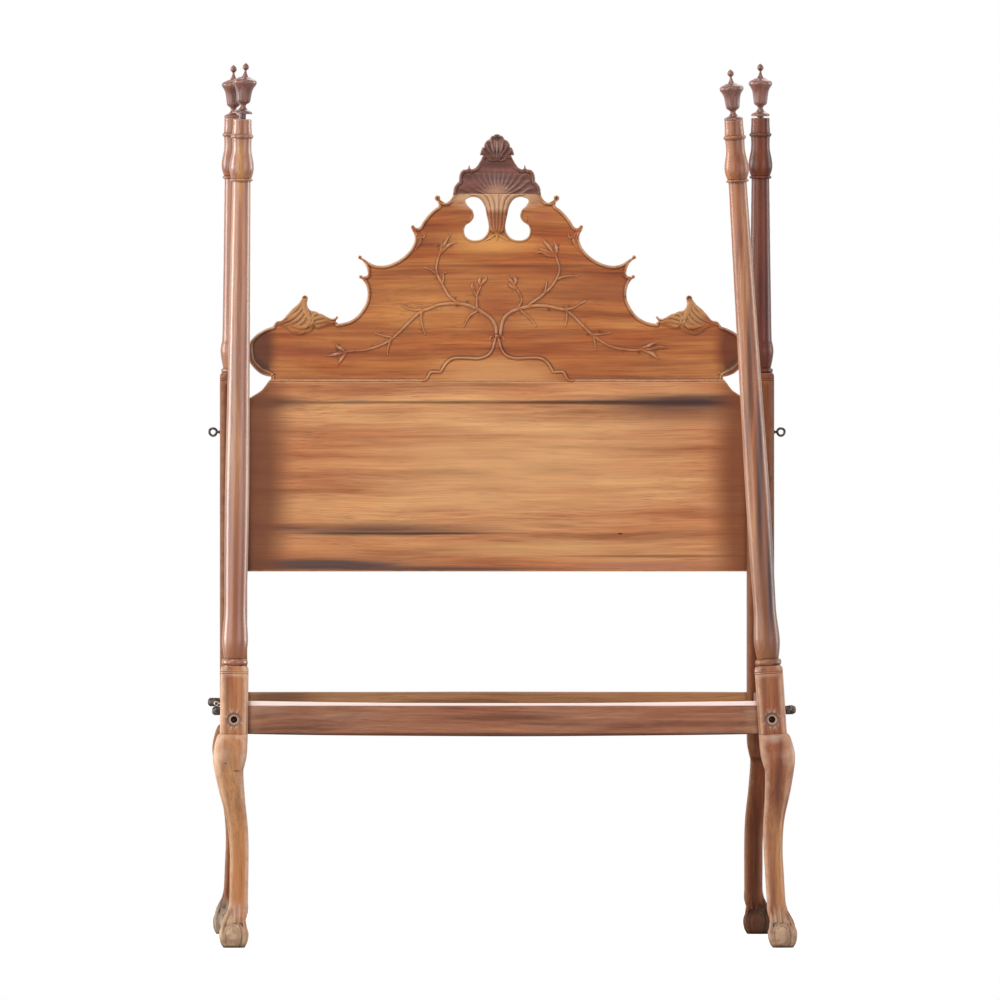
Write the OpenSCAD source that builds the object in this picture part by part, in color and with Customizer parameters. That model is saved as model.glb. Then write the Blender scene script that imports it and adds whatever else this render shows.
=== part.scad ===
// Carved four-poster bedstead with claw and ball feet, lift-out urn finials and a pierced headboard.
// Millimetres, +Z up, +X to the right seen from the foot end, +Y from the foot end to the head end.
// The origin is on the floor, below the middle of the bed.

/* [Bedstead] */
// Distance between the post centres across the bed
post_spacing = 1270; // [1000:1:1700]
// Distance between the post centres along the bed
bed_length = 1900; // [1600:1:2000]
// Height of the rails' lower edge above the floor
rail_bottom = 505; // [495:1:530]
// Height of the four rails
rail_h = 78; // [60:1:90]
// Thickness of the four rails
rail_t = 34; // [28:1:40]
// Radius on the top edges of the rails
rail_round = 4; // [1:0.5:8]

/* [Posts] */
// Side of the square blocks
post_w = 66; // [58:1:76]
// Chamfer on the blocks' upright corners
block_chamfer = 6; // [1:0.5:9]
// Lower end of the square blocks, where the knees start
block_bottom = 505; // [480:1:520]
// Upper end of the blocks on the foot posts
foot_block_top = 665; // [630:1:720]
// Upper end of the blocks on the head posts
head_block_top = 1352; // [1342:1:1420]
// Height of the foot posts without their finials, along the post
foot_post_top = 1956; // [1700:1:1990]
// Height of the head posts without their finials
head_post_top = 1967; // [1850:1:2000]
// Lean of the left foot post towards the middle, about its side bolt, in degrees
lean_left = 0.8; // [0:0.01:3.9]
// Lean of the right foot post towards the middle, about its side bolt, in degrees
lean_right = 3.66; // [0:0.01:3.9]

/* [Turned columns] */
// Radius of the shaft at its fullest
shaft_r = 28.5; // [26:0.5:31]
// Radius of the shaft under the cap rings
shaft_top_r = 21.5; // [19:0.5:24]
// Radius of the cap's thin ring
cap_ring_r = 27; // [25:0.5:30]
// Radius of the cap's swelling
cap_bulge_r = 29; // [27:0.5:32]
// Radius of the round tenon under each column
column_tenon_r = 16; // [12:0.5:20]
// Length of the round tenon under each column
column_tenon_l = 45; // [30:1:60]
// Height of the turned cap at the top of each column
cap_h = 152; // [130:1:170]

/* [Finials] */
// Height of the foot finials above their seat
foot_finial_h = 120; // [100:1:140]
// Height of the head finials above their seat
head_finial_h = 127; // [100:1:140]
// Largest radius of the urns
urn_r = 28.5; // [24:0.5:34]
// Radius of the dowel under each finial
finial_dowel_r = 8.5; // [6:0.5:10]
// Length of the dowel under each finial
finial_dowel_l = 40; // [30:1:55]
// Depth that the left foot finial's socket is too shallow by
foot_left_proud = 13; // [0:0.5:20]
// Depth that the right head finial's socket is too shallow by
head_right_proud = 4; // [0:0.5:20]
// Tilt of the left foot finial in its socket, in degrees
foot_left_tilt = 3; // [0:0.5:5]

/* [Legs] */
// Radius of the ball in each foot
ball_r = 34; // [30:0.5:38]
// Height of the ball's centre above the floor
ball_z = 28; // [24:0.5:32]
// Offset of the ball from the post's centre, towards the middle of the bed
ball_in = 6; // [0:0.5:12]
// Thickness of the toes
toe_d = 17; // [10:0.5:20]
// Extra distance that the left head leg stands out by at the floor
stray_left = 20; // [0:1:24]

/* [Headboard] */
// Thickness of the boards
board_t = 28; // [20:1:34]
// Height of the board's lower edge above the floor
board_bottom = 874; // [780:1:950]
// Height of the seam between the two boards
seam_z = 1332; // [1318:1:1342]
// Height of the upper board, from its seam to the crest's seam
upper_h = 452; // [400:1:500]
// Height of the carved crest
crest_h = 144; // [120:1:170]
// Depth of the grooves that hold the board
groove_d = 14; // [8:1:18]
// Diameter of the dowels in the seams
board_dowel_d = 10; // [6:1:14]
// Length of the dowels in the seams
board_dowel_l = 50; // [30:1:70]

/* [Bolts] */
// Diameter of the iron bolts
bolt_d = 10; // [8:0.5:12]
// Height of the side bolts above the floor
bolt_z = 539; // [532:1:541]
// Height of the cross bolts above the side bolts
cross_rise = 20; // [18:0.5:24]
// Diameter of the sockets for the side bolts' heads
socket_d = 16; // [14:0.5:18]
// Depth of the sockets for the side bolts' heads
socket_depth = 26; // [20:1:28]
// Diameter of the dished ring round each socket
dish_d = 34; // [26:1:40]
// Depth of the dished ring round each socket
dish_depth = 2; // [0.5:0.5:4]
// Diameter of the cross bolts' round knobs
knob_d = 21; // [16:0.5:28]
// Reach of the cross bolts' knobs from the post
knob_reach = 23; // [18:0.5:26]
// Length of the tapered end of a knob
knob_taper = 9; // [5:0.5:11]
// Side of the square nuts
nut_w = 20; // [17:0.5:22]
// Thickness of the square nuts
nut_t = 8; // [6:0.5:12]
// Distance of the nuts from the rail's shoulder
nut_in = 45; // [35:1:70]

/* [Eyes] */
// Distance of the eyes below the head blocks' upper end
eye_drop = 142; // [90:1:300]
// Distance of the eyes' centres from the post's face
eye_reach = 16.5; // [13:0.5:20]
// Outer diameter of the eyes on the head posts
eye_d = 23; // [18:0.5:26]
// Hole in the eyes on the head posts
eye_hole_d = 12; // [8:0.5:14]
// Thickness of the eyes on the head posts
eye_t = 6; // [4:0.5:8]
// Height of the small screw eye above the side bolt on the left foot post
screw_eye_rise = 37; // [34:1:60]

/* [Slats] */
// Number of slats
slat_count = 11; // [7:1:15]
// Width of the slats
slat_w = 75; // [50:1:90]
// Thickness of the slats
slat_t = 18; // [12:1:24]
// Side of the square ledgers
ledger_w = 25; // [20:1:30]
// Distance of the outer slats' centres from the post centres
slat_margin = 110; // [90:1:200]
// How much shorter a ledger is than the rail between its nuts
ledger_inset = 60; // [20:1:100]

/* [Clearances] */
// Gap round tenons, dowels and tongues that are glued or pinned
joint_gap = 0.1; // [0.05:0.05:0.3]
// Gap round the finials' dowels
dowel_gap = 0.3; // [0.2:0.05:0.5]

/* [Hidden] */
$fn = 48;
post_x = post_spacing / 2;
post_y = bed_length / 2;
half_w = post_w / 2;
inner_x = post_x - half_w;
rail_top = rail_bottom + rail_h;
cross_z = bolt_z + cross_rise;
eye_z = head_block_top - eye_drop;
ledger_z = rail_bottom;
// Flat stub tenons on the end rails, and round ones on the side rails
tenon_l = 16;
tenon_t = rail_t / 2;
tenon_h = rail_h - 12;
side_stub_r = 12;
side_stub_l = 10;
// Stems of the eyes, and how deep they are driven in
eye_stem_d = 5;
eye_depth = 22;
screw_eye_stem_d = 2.6;
screw_eye_depth = 14;
// The small screw eye's reach from the post, and its ring
screw_eye_reach = 9;
screw_eye_d = 12;
screw_eye_hole_d = 6;
screw_eye_t = 3.5;
// Angles that each toe runs over the ball, below and above its middle
toe_below = 42;
toe_above = 60;
// Outlines were drawn for these sizes and are stretched to the real ones
drawn_half = 602;
drawn_upper_h = 452;
drawn_crest_h = 144;
drawn_knee = 505;
drawn_post_w = 66;
drawn_foot_run = 1291;
drawn_head_run = 615;
drawn_cap_h = 152;
drawn_finial_h = 127;
stretch = inner_x / drawn_half;
// Half width of the crest's seam on the upper board, as drawn
crest_half = 106;
// Drop of the lower board's tongue below the seam, and the spacing of the dowels
tongue_drop = 43;
tongue_top = seam_z - tongue_drop;
seam_dowel_step = 220;
crest_dowel_step = 86;
big = 6000;

// ---- Curves ----

// A point of the smooth curve through a, b, c and d, between b and c
function between(a, b, c, d, t) =
    b + t * (c - a) / 2 + t * t * (2 * a - 5 * b + 4 * c - d) / 2
    + t * t * t * (3 * b - a - 3 * c + d) / 2;

// The smooth curve through the points p, with n steps from each point to the next
function smooth(p, n = 3) = concat(
    [for (i = [0:len(p) - 2]) for (k = [0:n - 1])
        between(p[max(i - 1, 0)], p[i], p[i + 1], p[min(i + 2, len(p) - 1)], k / n)],
    [p[len(p) - 1]]);

// The same through a closed ring of points
function ring(p, n = 3) = let (m = len(p)) [for (i = [0:m - 1]) for (k = [0:n - 1])
    between(p[(i + m - 1) % m], p[i], p[(i + 1) % m], p[(i + 2) % m], k / n)];

// A turned bead at height z, from radius r out to radius big_r
function bead(z, h, r, big_r) =
    [for (a = [-90:22.5:90]) [r + (big_r - r) * cos(a), z + h / 2 * sin(a)]];

function reversed(p) = [for (i = [len(p) - 1:-1:0]) p[i]];
function mirrored(p) = [for (q = reversed(p)) if (q[0] > 0) [-q[0], q[1]]];

// ---- Places ----

// Puts a piece drawn at a post: +X away from the middle, +Y away from the bed's centre, z from the floor
module at_post(side, end, lean) {
    translate([side * post_x, end * post_y, bolt_z])
        rotate([0, -side * lean, 0])
            translate([0, 0, -bolt_z])
                mirror([side < 0 ? 1 : 0, 0, 0])
                    mirror([0, end < 0 ? 1 : 0, 0])
                        children();
}

// Extrudes a shape drawn in X and Z, through thickness t, centred on Y
module upright(t) {
    rotate([90, 0, 0])
        linear_extrude(t, center = true)
            children();
}

// A cylinder along X from x0 to x1
module along_x(r, x0, x1) {
    translate([x0, 0, 0])
        rotate([0, 90, 0])
            cylinder(r = r, h = x1 - x0);
}

// A cylinder along Y from y0 to y1
module along_y(r, y0, y1) {
    translate([0, y1, 0])
        rotate([90, 0, 0])
            cylinder(r = r, h = y1 - y0);
}

// ---- Legs ----

// Outer and inner line of the S-shaped leg, [offset from the post's centre, height]
leg_outer = leg_line([[33, drawn_knee], [43, 485], [49, 459], [45, 425], [32, 365], [14, 300],
    [6, 235], [5, 170], [6, 100], [10, 74], [16, 48]]);
leg_inner = leg_line([[-33, drawn_knee], [-32, 460], [-24, 420], [-29, 355], [-36, 295],
    [-39, 230], [-39, 110], [-35, 74], [-30, 48]]);

function leg_line(p) = [for (q = smooth(p, 4))
    [q[0] * post_w / drawn_post_w, q[1] * block_bottom / drawn_knee]];

// A leg's line, led out more and more towards the floor
function strayed(p, out) = [for (q = p) [q[0] + out * (1 - q[1] / block_bottom), q[1]]];

module leg_side(out) {
    polygon(concat(strayed(leg_outer, out), reversed(strayed(leg_inner, out))));
}

// The leg is sawn to the same S from two sides, so that it curves along the diagonal
module shank(out) {
    intersection() {
        upright(4 * post_w) leg_side(out);
        rotate([0, 0, 90]) upright(4 * post_w) leg_side(0);
    }
}

// One toe: an arc of tube over the ball, at the given angle round it
module toe(turn) {
    toe_path = ball_r - toe_d / 2 + 4;
    rotate([0, 0, turn])
        rotate([90, 0, 0])
            rotate([0, 0, -toe_below])
                rotate_extrude(angle = toe_below + toe_above)
                    translate([toe_path, 0])
                        circle(d = toe_d);
}

module claw_foot(out) {
    translate([out * (1 - ball_z / block_bottom) - ball_in, -ball_in, ball_z]) {
        sphere(r = ball_r);
        for (turn = [45:90:315])
            toe(turn);
    }
}

module block(top) {
    c = block_chamfer;
    h = half_w;
    translate([0, 0, block_bottom])
        linear_extrude(top - block_bottom)
            polygon([[h - c, -h], [h, c - h], [h, h - c], [h - c, h],
                [c - h, h], [-h, h - c], [-h, c - h], [c - h, -h]]);
}

module leg_blank(top, out) {
    block(top);
    shank(out);
    claw_foot(out);
}

// Everything that is cut into a leg
module leg_cuts(top) {
    // round mortise for the column
    translate([0, 0, top - column_tenon_l - joint_gap])
        cylinder(r = column_tenon_r + joint_gap, h = column_tenon_l + 1);
    // cross bolt, from the outer face to the end rail
    translate([0, 0, cross_z])
        along_x(bolt_d / 2 + joint_gap, -half_w - 1, half_w + 1);
    // stub mortise for the end rail
    translate([-half_w - 1, -tenon_t / 2 - joint_gap, rail_bottom + (rail_h - tenon_h) / 2 - joint_gap])
        cube([tenon_l + 1 + joint_gap, tenon_t + 2 * joint_gap, tenon_h + 2 * joint_gap]);
    // side bolt, with its socket and the dished ring
    translate([0, 0, bolt_z]) {
        along_y(bolt_d / 2 + joint_gap, -half_w - 1, half_w + 1);
        along_y(socket_d / 2, half_w - socket_depth, half_w + 1);
        along_y(side_stub_r + joint_gap, -half_w - 1, side_stub_l + joint_gap - half_w);
        translate([0, half_w - dish_depth, 0])
            rotate([-90, 0, 0])
                cylinder(r1 = dish_d / 2 - 2 * dish_depth, r2 = dish_d / 2, h = dish_depth);
    }
}

// Hole for the stem of an eye that is driven into a leg's outer face
module eye_stem_hole(z, d, depth) {
    translate([0, 0, z])
        along_x(d / 2 + joint_gap, half_w - depth - joint_gap, half_w + 1);
}

module leg(side, end, lean, top, out = 0) {
    color(end < 0 ? "#a8703f" : "#6f412b")
        intersection() {
            at_post(side, end, lean)
                difference() {
                    leg_blank(top, out);
                    leg_cuts(top);
                    if (end > 0) {
                        headboard_groove();
                        eye_stem_hole(eye_z, eye_stem_d, eye_depth);
                    } else if (side < 0) {
                        eye_stem_hole(bolt_z + screw_eye_rise, screw_eye_stem_d, screw_eye_depth);
                    }
                }
            translate([-big / 2, -big / 2, 0])
                cube([big, big, big]);
        }
}

// Groove in a head leg's inner face, stopped where the board is cut away
module headboard_groove() {
    t = board_t + 2 * joint_gap;
    translate([-half_w - 1, -t / 2, board_bottom - joint_gap])
        cube([groove_d + 1 + joint_gap, t, tongue_top - board_bottom + 2 * joint_gap]);
}

module foot_leg_left() { leg(-1, -1, lean_left, foot_block_top); }
module foot_leg_right() { leg(1, -1, lean_right, foot_block_top); }
module head_leg_left() { leg(-1, 1, 0, head_block_top, stray_left); }
module head_leg_right() { leg(1, 1, 0, head_block_top); }

// ---- Turned columns ----

// A turned outline with its heights stretched by k and raised by z
function raised(p, k, z) = [for (q = p) [q[0], q[1] * k + z]];

// Lower end of a foot column that stands on its block, up to the shaft
foot_base = raised(concat(
    bead(9, 18, shaft_r - 4, shaft_r + 2),
    smooth([[shaft_r - 3, 19], [shaft_r + 0.5, 40], [shaft_r + 2.2, 63], [shaft_r + 0.5, 92],
        [shaft_r - 2, 133], [shaft_r - 1, 225], [shaft_r, 340], [shaft_r, 440], [shaft_r - 2, 628]])),
    (foot_post_top - foot_block_top) / drawn_foot_run, foot_block_top);

// The same for a head column
head_base = raised(concat(
    bead(6, 12, shaft_r - 4, shaft_r + 1.5),
    smooth([[shaft_r - 3, 14], [shaft_r + 1, 34], [shaft_r + 3.2, 54], [shaft_r + 1, 70],
        [shaft_r - 1.5, 88], [shaft_r - 3, 180], [shaft_r - 4.5, 272]])),
    (head_post_top - head_block_top) / drawn_head_run, head_block_top);

// Upper end of every column, down from its top at z
function cap(z) = raised(concat(
    [[shaft_top_r, -drawn_cap_h]],
    bead(-142, 9, shaft_top_r, cap_ring_r),
    smooth([[shaft_top_r + 3, -136], [cap_bulge_r - 1, -124], [cap_bulge_r, -112],
        [cap_bulge_r - 2.5, -94], [shaft_top_r + 1, -74], [shaft_top_r + 1, -52]]),
    bead(-39, 14, shaft_top_r + 1, cap_ring_r),
    smooth([[shaft_top_r + 1.5, -30], [shaft_top_r + 0.5, -16], [shaft_top_r + 0.5, 0]])),
    cap_h / drawn_cap_h, z);

module column_solid(base, block_top, top) {
    rotate_extrude()
        polygon(concat([[0, block_top], [base[0][0], block_top]], base, cap(top), [[0, top]]));
    translate([0, 0, block_top - column_tenon_l])
        cylinder(r = column_tenon_r, h = column_tenon_l + 1);
}

// Puts a piece drawn on a finial's own axis, z from the top of the post
module at_finial(top, tilt) {
    translate([0, 0, top])
        rotate([0, -tilt, 0])
            children();
}

module finial_socket(top, tilt, proud) {
    at_finial(top, tilt)
        translate([0, 0, proud - finial_dowel_l])
            cylinder(r = finial_dowel_r + dowel_gap, h = finial_dowel_l + 10);
}

module column(side, end, lean, base, block_top, top, tilt, proud) {
    color(end < 0 ? "#b3793f" : "#6b3e2a")
        at_post(side, end, lean)
            difference() {
                column_solid(base, block_top, top);
                finial_socket(top, tilt, proud);
            }
}

module foot_column_left() {
    column(-1, -1, lean_left, foot_base, foot_block_top, foot_post_top, foot_left_tilt, foot_left_proud);
}
module foot_column_right() {
    column(1, -1, lean_right, foot_base, foot_block_top, foot_post_top, 0, 0);
}
module head_column_left() {
    column(-1, 1, 0, head_base, head_block_top, head_post_top, 0, 0);
}
module head_column_right() {
    column(1, 1, 0, head_base, head_block_top, head_post_top, 0, head_right_proud);
}

// ---- Finials ----

// Urn with its spire and bud, h high over the seat
function urn_outline(h) = [for (p = concat(
    [[0, 0], [22.5, 0]], smooth([[22.5, 4], [19, 9], [10, 12], [6.5, 20], [8, 25]]),
    smooth([[11, 26], [16, 35], [18.5, 52], [22, 66], [urn_r - 1, 73], [urn_r, 78]]),
    smooth([[urn_r, 80], [24, 86], [15.5, 90], [8.5, 91]]),
    smooth([[8, 92], [4.5, 99], [2.6, 107]]),
    smooth([[3, 109], [7, 113], [7.7, 118], [5.5, 124], [0, drawn_finial_h]])))
        [p[0], p[1] * h / drawn_finial_h]];

module finial(side, end, lean, top, h, tilt, proud) {
    color("#5c3a2e")
        at_post(side, end, lean)
            at_finial(top, tilt)
                translate([0, 0, proud]) {
                    rotate_extrude()
                        polygon(urn_outline(h));
                    translate([0, 0, -finial_dowel_l])
                        cylinder(r = finial_dowel_r, h = finial_dowel_l + 1);
                }
}

module finial_foot_left() {
    finial(-1, -1, lean_left, foot_post_top, foot_finial_h, foot_left_tilt, foot_left_proud);
}
module finial_foot_right() { finial(1, -1, lean_right, foot_post_top, foot_finial_h, 0, 0); }
module finial_head_left() { finial(-1, 1, 0, head_post_top, head_finial_h, 0, 0); }
module finial_head_right() { finial(1, 1, 0, head_post_top, head_finial_h, 0, head_right_proud); }

// ---- Headboard ----

// The right half of each outline is [distance from the centre line, height over the seam]
lower_shoulder = smooth([[drawn_half - 4, -41], [577, -28], [566, -20], [556, -7], [551, 0]]);

// Side lobe, from the notch at the seam up to the leaf
lobe = smooth([[545, 11], [556, 13], [571, 19], [586, 32], [597, 48], [600, 69], [597, 92], [586, 107],
    [573, 118], [556, 127], [541, 132]], 2);
// Carved leaf with its tall tip
leaf = concat([[530, 145], [520, 145]],
    smooth([[505, 163], [492, 176], [483, 183], [471, 200], [461, 205]], 2),
    [[453, 197]], smooth([[459, 184], [451, 171], [431, 164], [414, 161], [399, 153], [384, 152]], 2));
// First hollow, up to the spike
hollow_low = smooth([[384, 139], [371, 141], [353, 147], [334, 161], [317, 187], [312, 211],
    [317, 235], [330, 253]]);
// Second hollow, from its horn up to the hook
hollow_mid = smooth([[332, 304], [320, 297], [296, 281], [267, 280], [234, 294], [210, 316], [200, 335],
    [200, 354], [208, 373]]);
// Shoulder up to the crest's hook
shoulder = smooth([[197, 377], [187, 371], [177, 387], [163, 404], [147, 417], [129, 423],
    [141, 430], [146, 444]]);
hook = smooth([[139, 443], [134, 435], [124, 432], [115, 436], [108, 444], [crest_half, drawn_upper_h]]);

upper_half = concat([[551, 0], [545, 6]], lobe, leaf, hollow_low, [[330, 255], [311, 256], [314, 270]],
    hollow_mid, shoulder, hook);

// Pierced opening beside the stem
opening_half = ring([[76, 437], [62, 444], [48, 443], [37, 435], [29, 420], [25, 401], [20, 368], [33, 346],
    [55, 340], [72, 346], [79, 359], [76, 375], [64, 384], [56, 396], [59, 412], [71, 424]]);

crest_side = concat(
    smooth([[crest_half, 0], [103, 16], [91, 30]]),
    smooth([[92, 40], [88, 52], [79, 61]]),
    [[67, 66]],
    smooth([[60, 60], [48, 66], [41, 80], [38, 94]]),
    smooth([[40, 100], [37, 112], [29, 121]]),
    smooth([[25, 127], [18, 131], [13, 137]]),
    smooth([[9, 142], [0, 144]]));

// An outline stretched to the board's width, and by k in height, over z
function stretched(p, k, z) = [for (q = p) [q[0] * stretch, q[1] * k + z]];

upper_k = upper_h / drawn_upper_h;
upper_right = stretched(upper_half, upper_k, seam_z);
opening_right = stretched(opening_half, upper_k, seam_z);
crest_right = stretched(crest_side, crest_h / drawn_crest_h, seam_z + upper_h);

module both_sides(right) {
    polygon(concat(right, mirrored(right)));
}

module seam_dowel_holes(z, places) {
    for (x = places)
        translate([x, 0, z - board_dowel_l / 2 - joint_gap])
            cylinder(d = board_dowel_d + 2 * joint_gap, h = board_dowel_l + 2 * joint_gap);
}

// Places of the dowels along the seam between the boards, and along the crest's seam
seam_places = [for (i = [-2:2]) i * seam_dowel_step * stretch];
crest_places = [for (i = [-1:1]) i * crest_dowel_step * stretch];

module headboard_lower() {
    tongue_x = inner_x + groove_d;
    lower_side = concat([[tongue_x, board_bottom], [tongue_x, tongue_top], [inner_x - 1, tongue_top]],
        stretched(lower_shoulder, 1, seam_z));
    color("#b77b40")
        translate([0, post_y, 0])
            difference() {
                upright(board_t)
                    polygon(concat(lower_side, mirrored(lower_side)));
                seam_dowel_holes(seam_z, seam_places);
            }
}

module headboard_upper() {
    color("#b06f38")
        translate([0, post_y, 0])
            difference() {
                upright(board_t)
                    difference() {
                        both_sides(upper_right);
                        polygon(opening_right);
                        polygon(mirrored(opening_right));
                    }
                seam_dowel_holes(seam_z, seam_places);
                seam_dowel_holes(seam_z + upper_h, crest_places);
            }
}

module headboard_crest() {
    color("#5f4036")
        translate([0, post_y, 0])
            difference() {
                upright(board_t)
                    both_sides(crest_right);
                seam_dowel_holes(seam_z + upper_h, crest_places);
            }
}

module headboard_dowels() {
    color("#c9a36b")
        translate([0, post_y, 0]) {
            for (x = seam_places)
                translate([x, 0, seam_z - board_dowel_l / 2])
                    cylinder(d = board_dowel_d, h = board_dowel_l);
            for (x = crest_places)
                translate([x, 0, seam_z + upper_h - board_dowel_l / 2])
                    cylinder(d = board_dowel_d, h = board_dowel_l);
        }
}

// ---- Rails ----

// Section of a rail, with rounded top edges
module rail_section() {
    r = rail_round;
    w = rail_t / 2;
    polygon(concat([[-w, rail_bottom], [w, rail_bottom]],
        [for (a = [0:15:90]) [w - r + r * cos(a), rail_top - r + r * sin(a)]],
        [for (a = [90:15:180]) [r - w + r * cos(a), rail_top - r + r * sin(a)]]));
}

// Stub tenon of an end rail, drawn at the post that it enters
module rail_tenon() {
    translate([-half_w - 1, -tenon_t / 2, rail_bottom + (rail_h - tenon_h) / 2])
        cube([tenon_l + 1, tenon_t, tenon_h]);
}

module rail_bolt_hole() {
    translate([0, 0, cross_z])
        along_x(bolt_d / 2 + joint_gap, -half_w - nut_in - 30, 0);
}

// Pocket for the square nut, on the rail's side that faces the head: the foot rail's is inside the bed, the
// head rail's is at its back
module nut_pocket(end) {
    p = nut_w + 2 * joint_gap;
    translate([-half_w - nut_in - nut_t / 2 - joint_gap, end < 0 ? -rail_t / 2 - 1 : -p / 2, cross_z - p / 2])
        cube([nut_t + 2 * joint_gap, rail_t / 2 + 1 + p / 2, p]);
}

// A post's inner face, as the half space beyond it
module beyond_post() {
    translate([-half_w, -big / 2, -big / 2])
        cube([big, big, big]);
}

module end_rail(end, left, right) {
    color("#8a5a3c")
        difference() {
            union() {
                difference() {
                    translate([0, end * post_y, 0])
                        rotate([0, 0, 90])
                            upright(post_spacing)
                                rail_section();
                    at_post(-1, end, left) beyond_post();
                    at_post(1, end, right) beyond_post();
                }
                at_post(-1, end, left) rail_tenon();
                at_post(1, end, right) rail_tenon();
            }
            at_post(-1, end, left) rail_bolt_hole();
            at_post(1, end, right) rail_bolt_hole();
            at_post(-1, end, left) nut_pocket(end);
            at_post(1, end, right) nut_pocket(end);
        }
}

module foot_rail() { end_rail(-1, lean_left, lean_right); }
module head_rail() { end_rail(1, 0, 0); }

// A side rail butts against the posts and has a round stub in each, so that a post can lean about it
module side_rail(side) {
    face_y = post_y - half_w;
    pocket = nut_w + 2 * joint_gap;
    color("#8a5a3c")
        translate([side * post_x, 0, 0])
            difference() {
                union() {
                    upright(2 * face_y)
                        rail_section();
                    translate([0, 0, bolt_z])
                        along_y(side_stub_r, -face_y - side_stub_l, face_y + side_stub_l);
                }
                for (end = [-1, 1])
                    mirror([0, end < 0 ? 1 : 0, 0]) {
                        translate([0, 0, bolt_z])
                            along_y(bolt_d / 2 + joint_gap, face_y - nut_in - 20, post_y);
                        // pocket for the nut, open towards the inside of the bed
                        translate([side > 0 ? -rail_t / 2 - 1 : -pocket / 2,
                                face_y - nut_in - nut_t / 2 - joint_gap, bolt_z - pocket / 2])
                            cube([rail_t / 2 + 1 + pocket / 2, nut_t + 2 * joint_gap, pocket]);
                    }
            }
}

module side_rail_left() { side_rail(-1); }
module side_rail_right() { side_rail(1); }

// ---- Ledgers and slats ----

module ledger(side) {
    len = bed_length - post_w - 2 * nut_in - ledger_inset;
    color("#a07a50")
        translate([side > 0 ? post_x - rail_t / 2 - ledger_w : rail_t / 2 - post_x, -len / 2, ledger_z])
            cube([ledger_w, len, ledger_w]);
}

module ledger_left() { ledger(-1); }
module ledger_right() { ledger(1); }

module slats() {
    run = bed_length - 2 * slat_margin;
    half = post_x - rail_t / 2 - 1;
    color("#b8935f")
        for (i = [0:slat_count - 1])
            translate([-half, -run / 2 + run * i / (slat_count - 1) - slat_w / 2, ledger_z + ledger_w])
                cube([2 * half, slat_w, slat_t]);
}

// ---- Iron ----

// Bolt through a post into an end rail, with a round knob outside
module cross_bolt() {
    translate([0, 0, cross_z]) {
        along_x(bolt_d / 2, -half_w - nut_in - 20, half_w + 4);
        along_x(knob_d / 2, half_w, half_w + knob_reach - knob_taper);
        translate([half_w + knob_reach - knob_taper, 0, 0])
            rotate([0, 90, 0])
                cylinder(r1 = knob_d / 2, r2 = knob_d / 4, h = knob_taper);
    }
}

module cross_nut() {
    translate([-half_w - nut_in - nut_t / 2, -nut_w / 2, cross_z - nut_w / 2])
        difference() {
            cube([nut_t, nut_w, nut_w]);
            translate([0, nut_w / 2, nut_w / 2])
                along_x(bolt_d / 2 + joint_gap, -1, nut_t + 1);
        }
}

module cross_bolts_foot() {
    color("#3a3634") {
        at_post(-1, -1, lean_left) cross_bolt();
        at_post(1, -1, lean_right) cross_bolt();
    }
}

module cross_bolts_head() {
    color("#3a3634") {
        at_post(-1, 1, 0) cross_bolt();
        at_post(1, 1, 0) cross_bolt();
    }
}

module cross_nuts() {
    color("#3a3634") {
        at_post(-1, -1, lean_left) cross_nut();
        at_post(1, -1, lean_right) cross_nut();
        at_post(-1, 1, 0) cross_nut();
        at_post(1, 1, 0) cross_nut();
    }
}

// Bolt from a post's socket into a side rail
module side_bolt() {
    head_t = 7;
    head_w = socket_d * 0.68;
    translate([0, 0, bolt_z]) {
        along_y(bolt_d / 2, -half_w - nut_in - 15, half_w - socket_depth + 1);
        translate([-head_w / 2, half_w - socket_depth, -head_w / 2])
            cube([head_w, head_t, head_w]);
    }
}

module side_nut() {
    translate([-nut_w / 2, -half_w - nut_in - nut_t / 2, bolt_z - nut_w / 2])
        difference() {
            cube([nut_w, nut_t, nut_w]);
            translate([nut_w / 2, 0, nut_w / 2])
                along_y(bolt_d / 2 + joint_gap, -1, nut_t + 1);
        }
}

module side_bolts() {
    color("#3a3634")
        for (side = [-1, 1])
            for (end = [-1, 1])
                at_post(side, end, 0) side_bolt();
}

module side_nuts() {
    color("#3a3634")
        for (side = [-1, 1])
            for (end = [-1, 1])
                at_post(side, end, 0) side_nut();
}

// Forged eye: a flat ring on a stem, drawn from the face it is driven into
module forged_eye(reach, d, hole, t, stem_d, depth) {
    difference() {
        union() {
            translate([reach, 0, 0])
                along_y(d / 2, -t / 2, t / 2);
            along_x(stem_d / 2, -depth, reach - hole / 2);
        }
        translate([reach, 0, 0])
            along_y(hole / 2, -t, t);
    }
}

module head_eye(side) {
    color("#3a3634")
        at_post(side, 1, 0)
            translate([half_w, 0, eye_z])
                forged_eye(eye_reach, eye_d, eye_hole_d, eye_t, eye_stem_d, eye_depth);
}

module head_eye_left() { head_eye(-1); }
module head_eye_right() { head_eye(1); }

module foot_screw_eye() {
    color("#8c8580")
        at_post(-1, -1, lean_left)
            translate([half_w, 0, bolt_z + screw_eye_rise])
                forged_eye(screw_eye_reach, screw_eye_d, screw_eye_hole_d, screw_eye_t,
                    screw_eye_stem_d, screw_eye_depth);
}

foot_leg_left();
foot_leg_right();
head_leg_left();
head_leg_right();
foot_column_left();
foot_column_right();
head_column_left();
head_column_right();
finial_foot_left();
finial_foot_right();
finial_head_left();
finial_head_right();
headboard_lower();
headboard_upper();
headboard_crest();
headboard_dowels();
foot_rail();
head_rail();
side_rail_left();
side_rail_right();
ledger_left();
ledger_right();
slats();
cross_bolts_foot();
cross_bolts_head();
cross_nuts();
side_bolts();
side_nuts();
head_eye_left();
head_eye_right();
foot_screw_eye();
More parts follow.
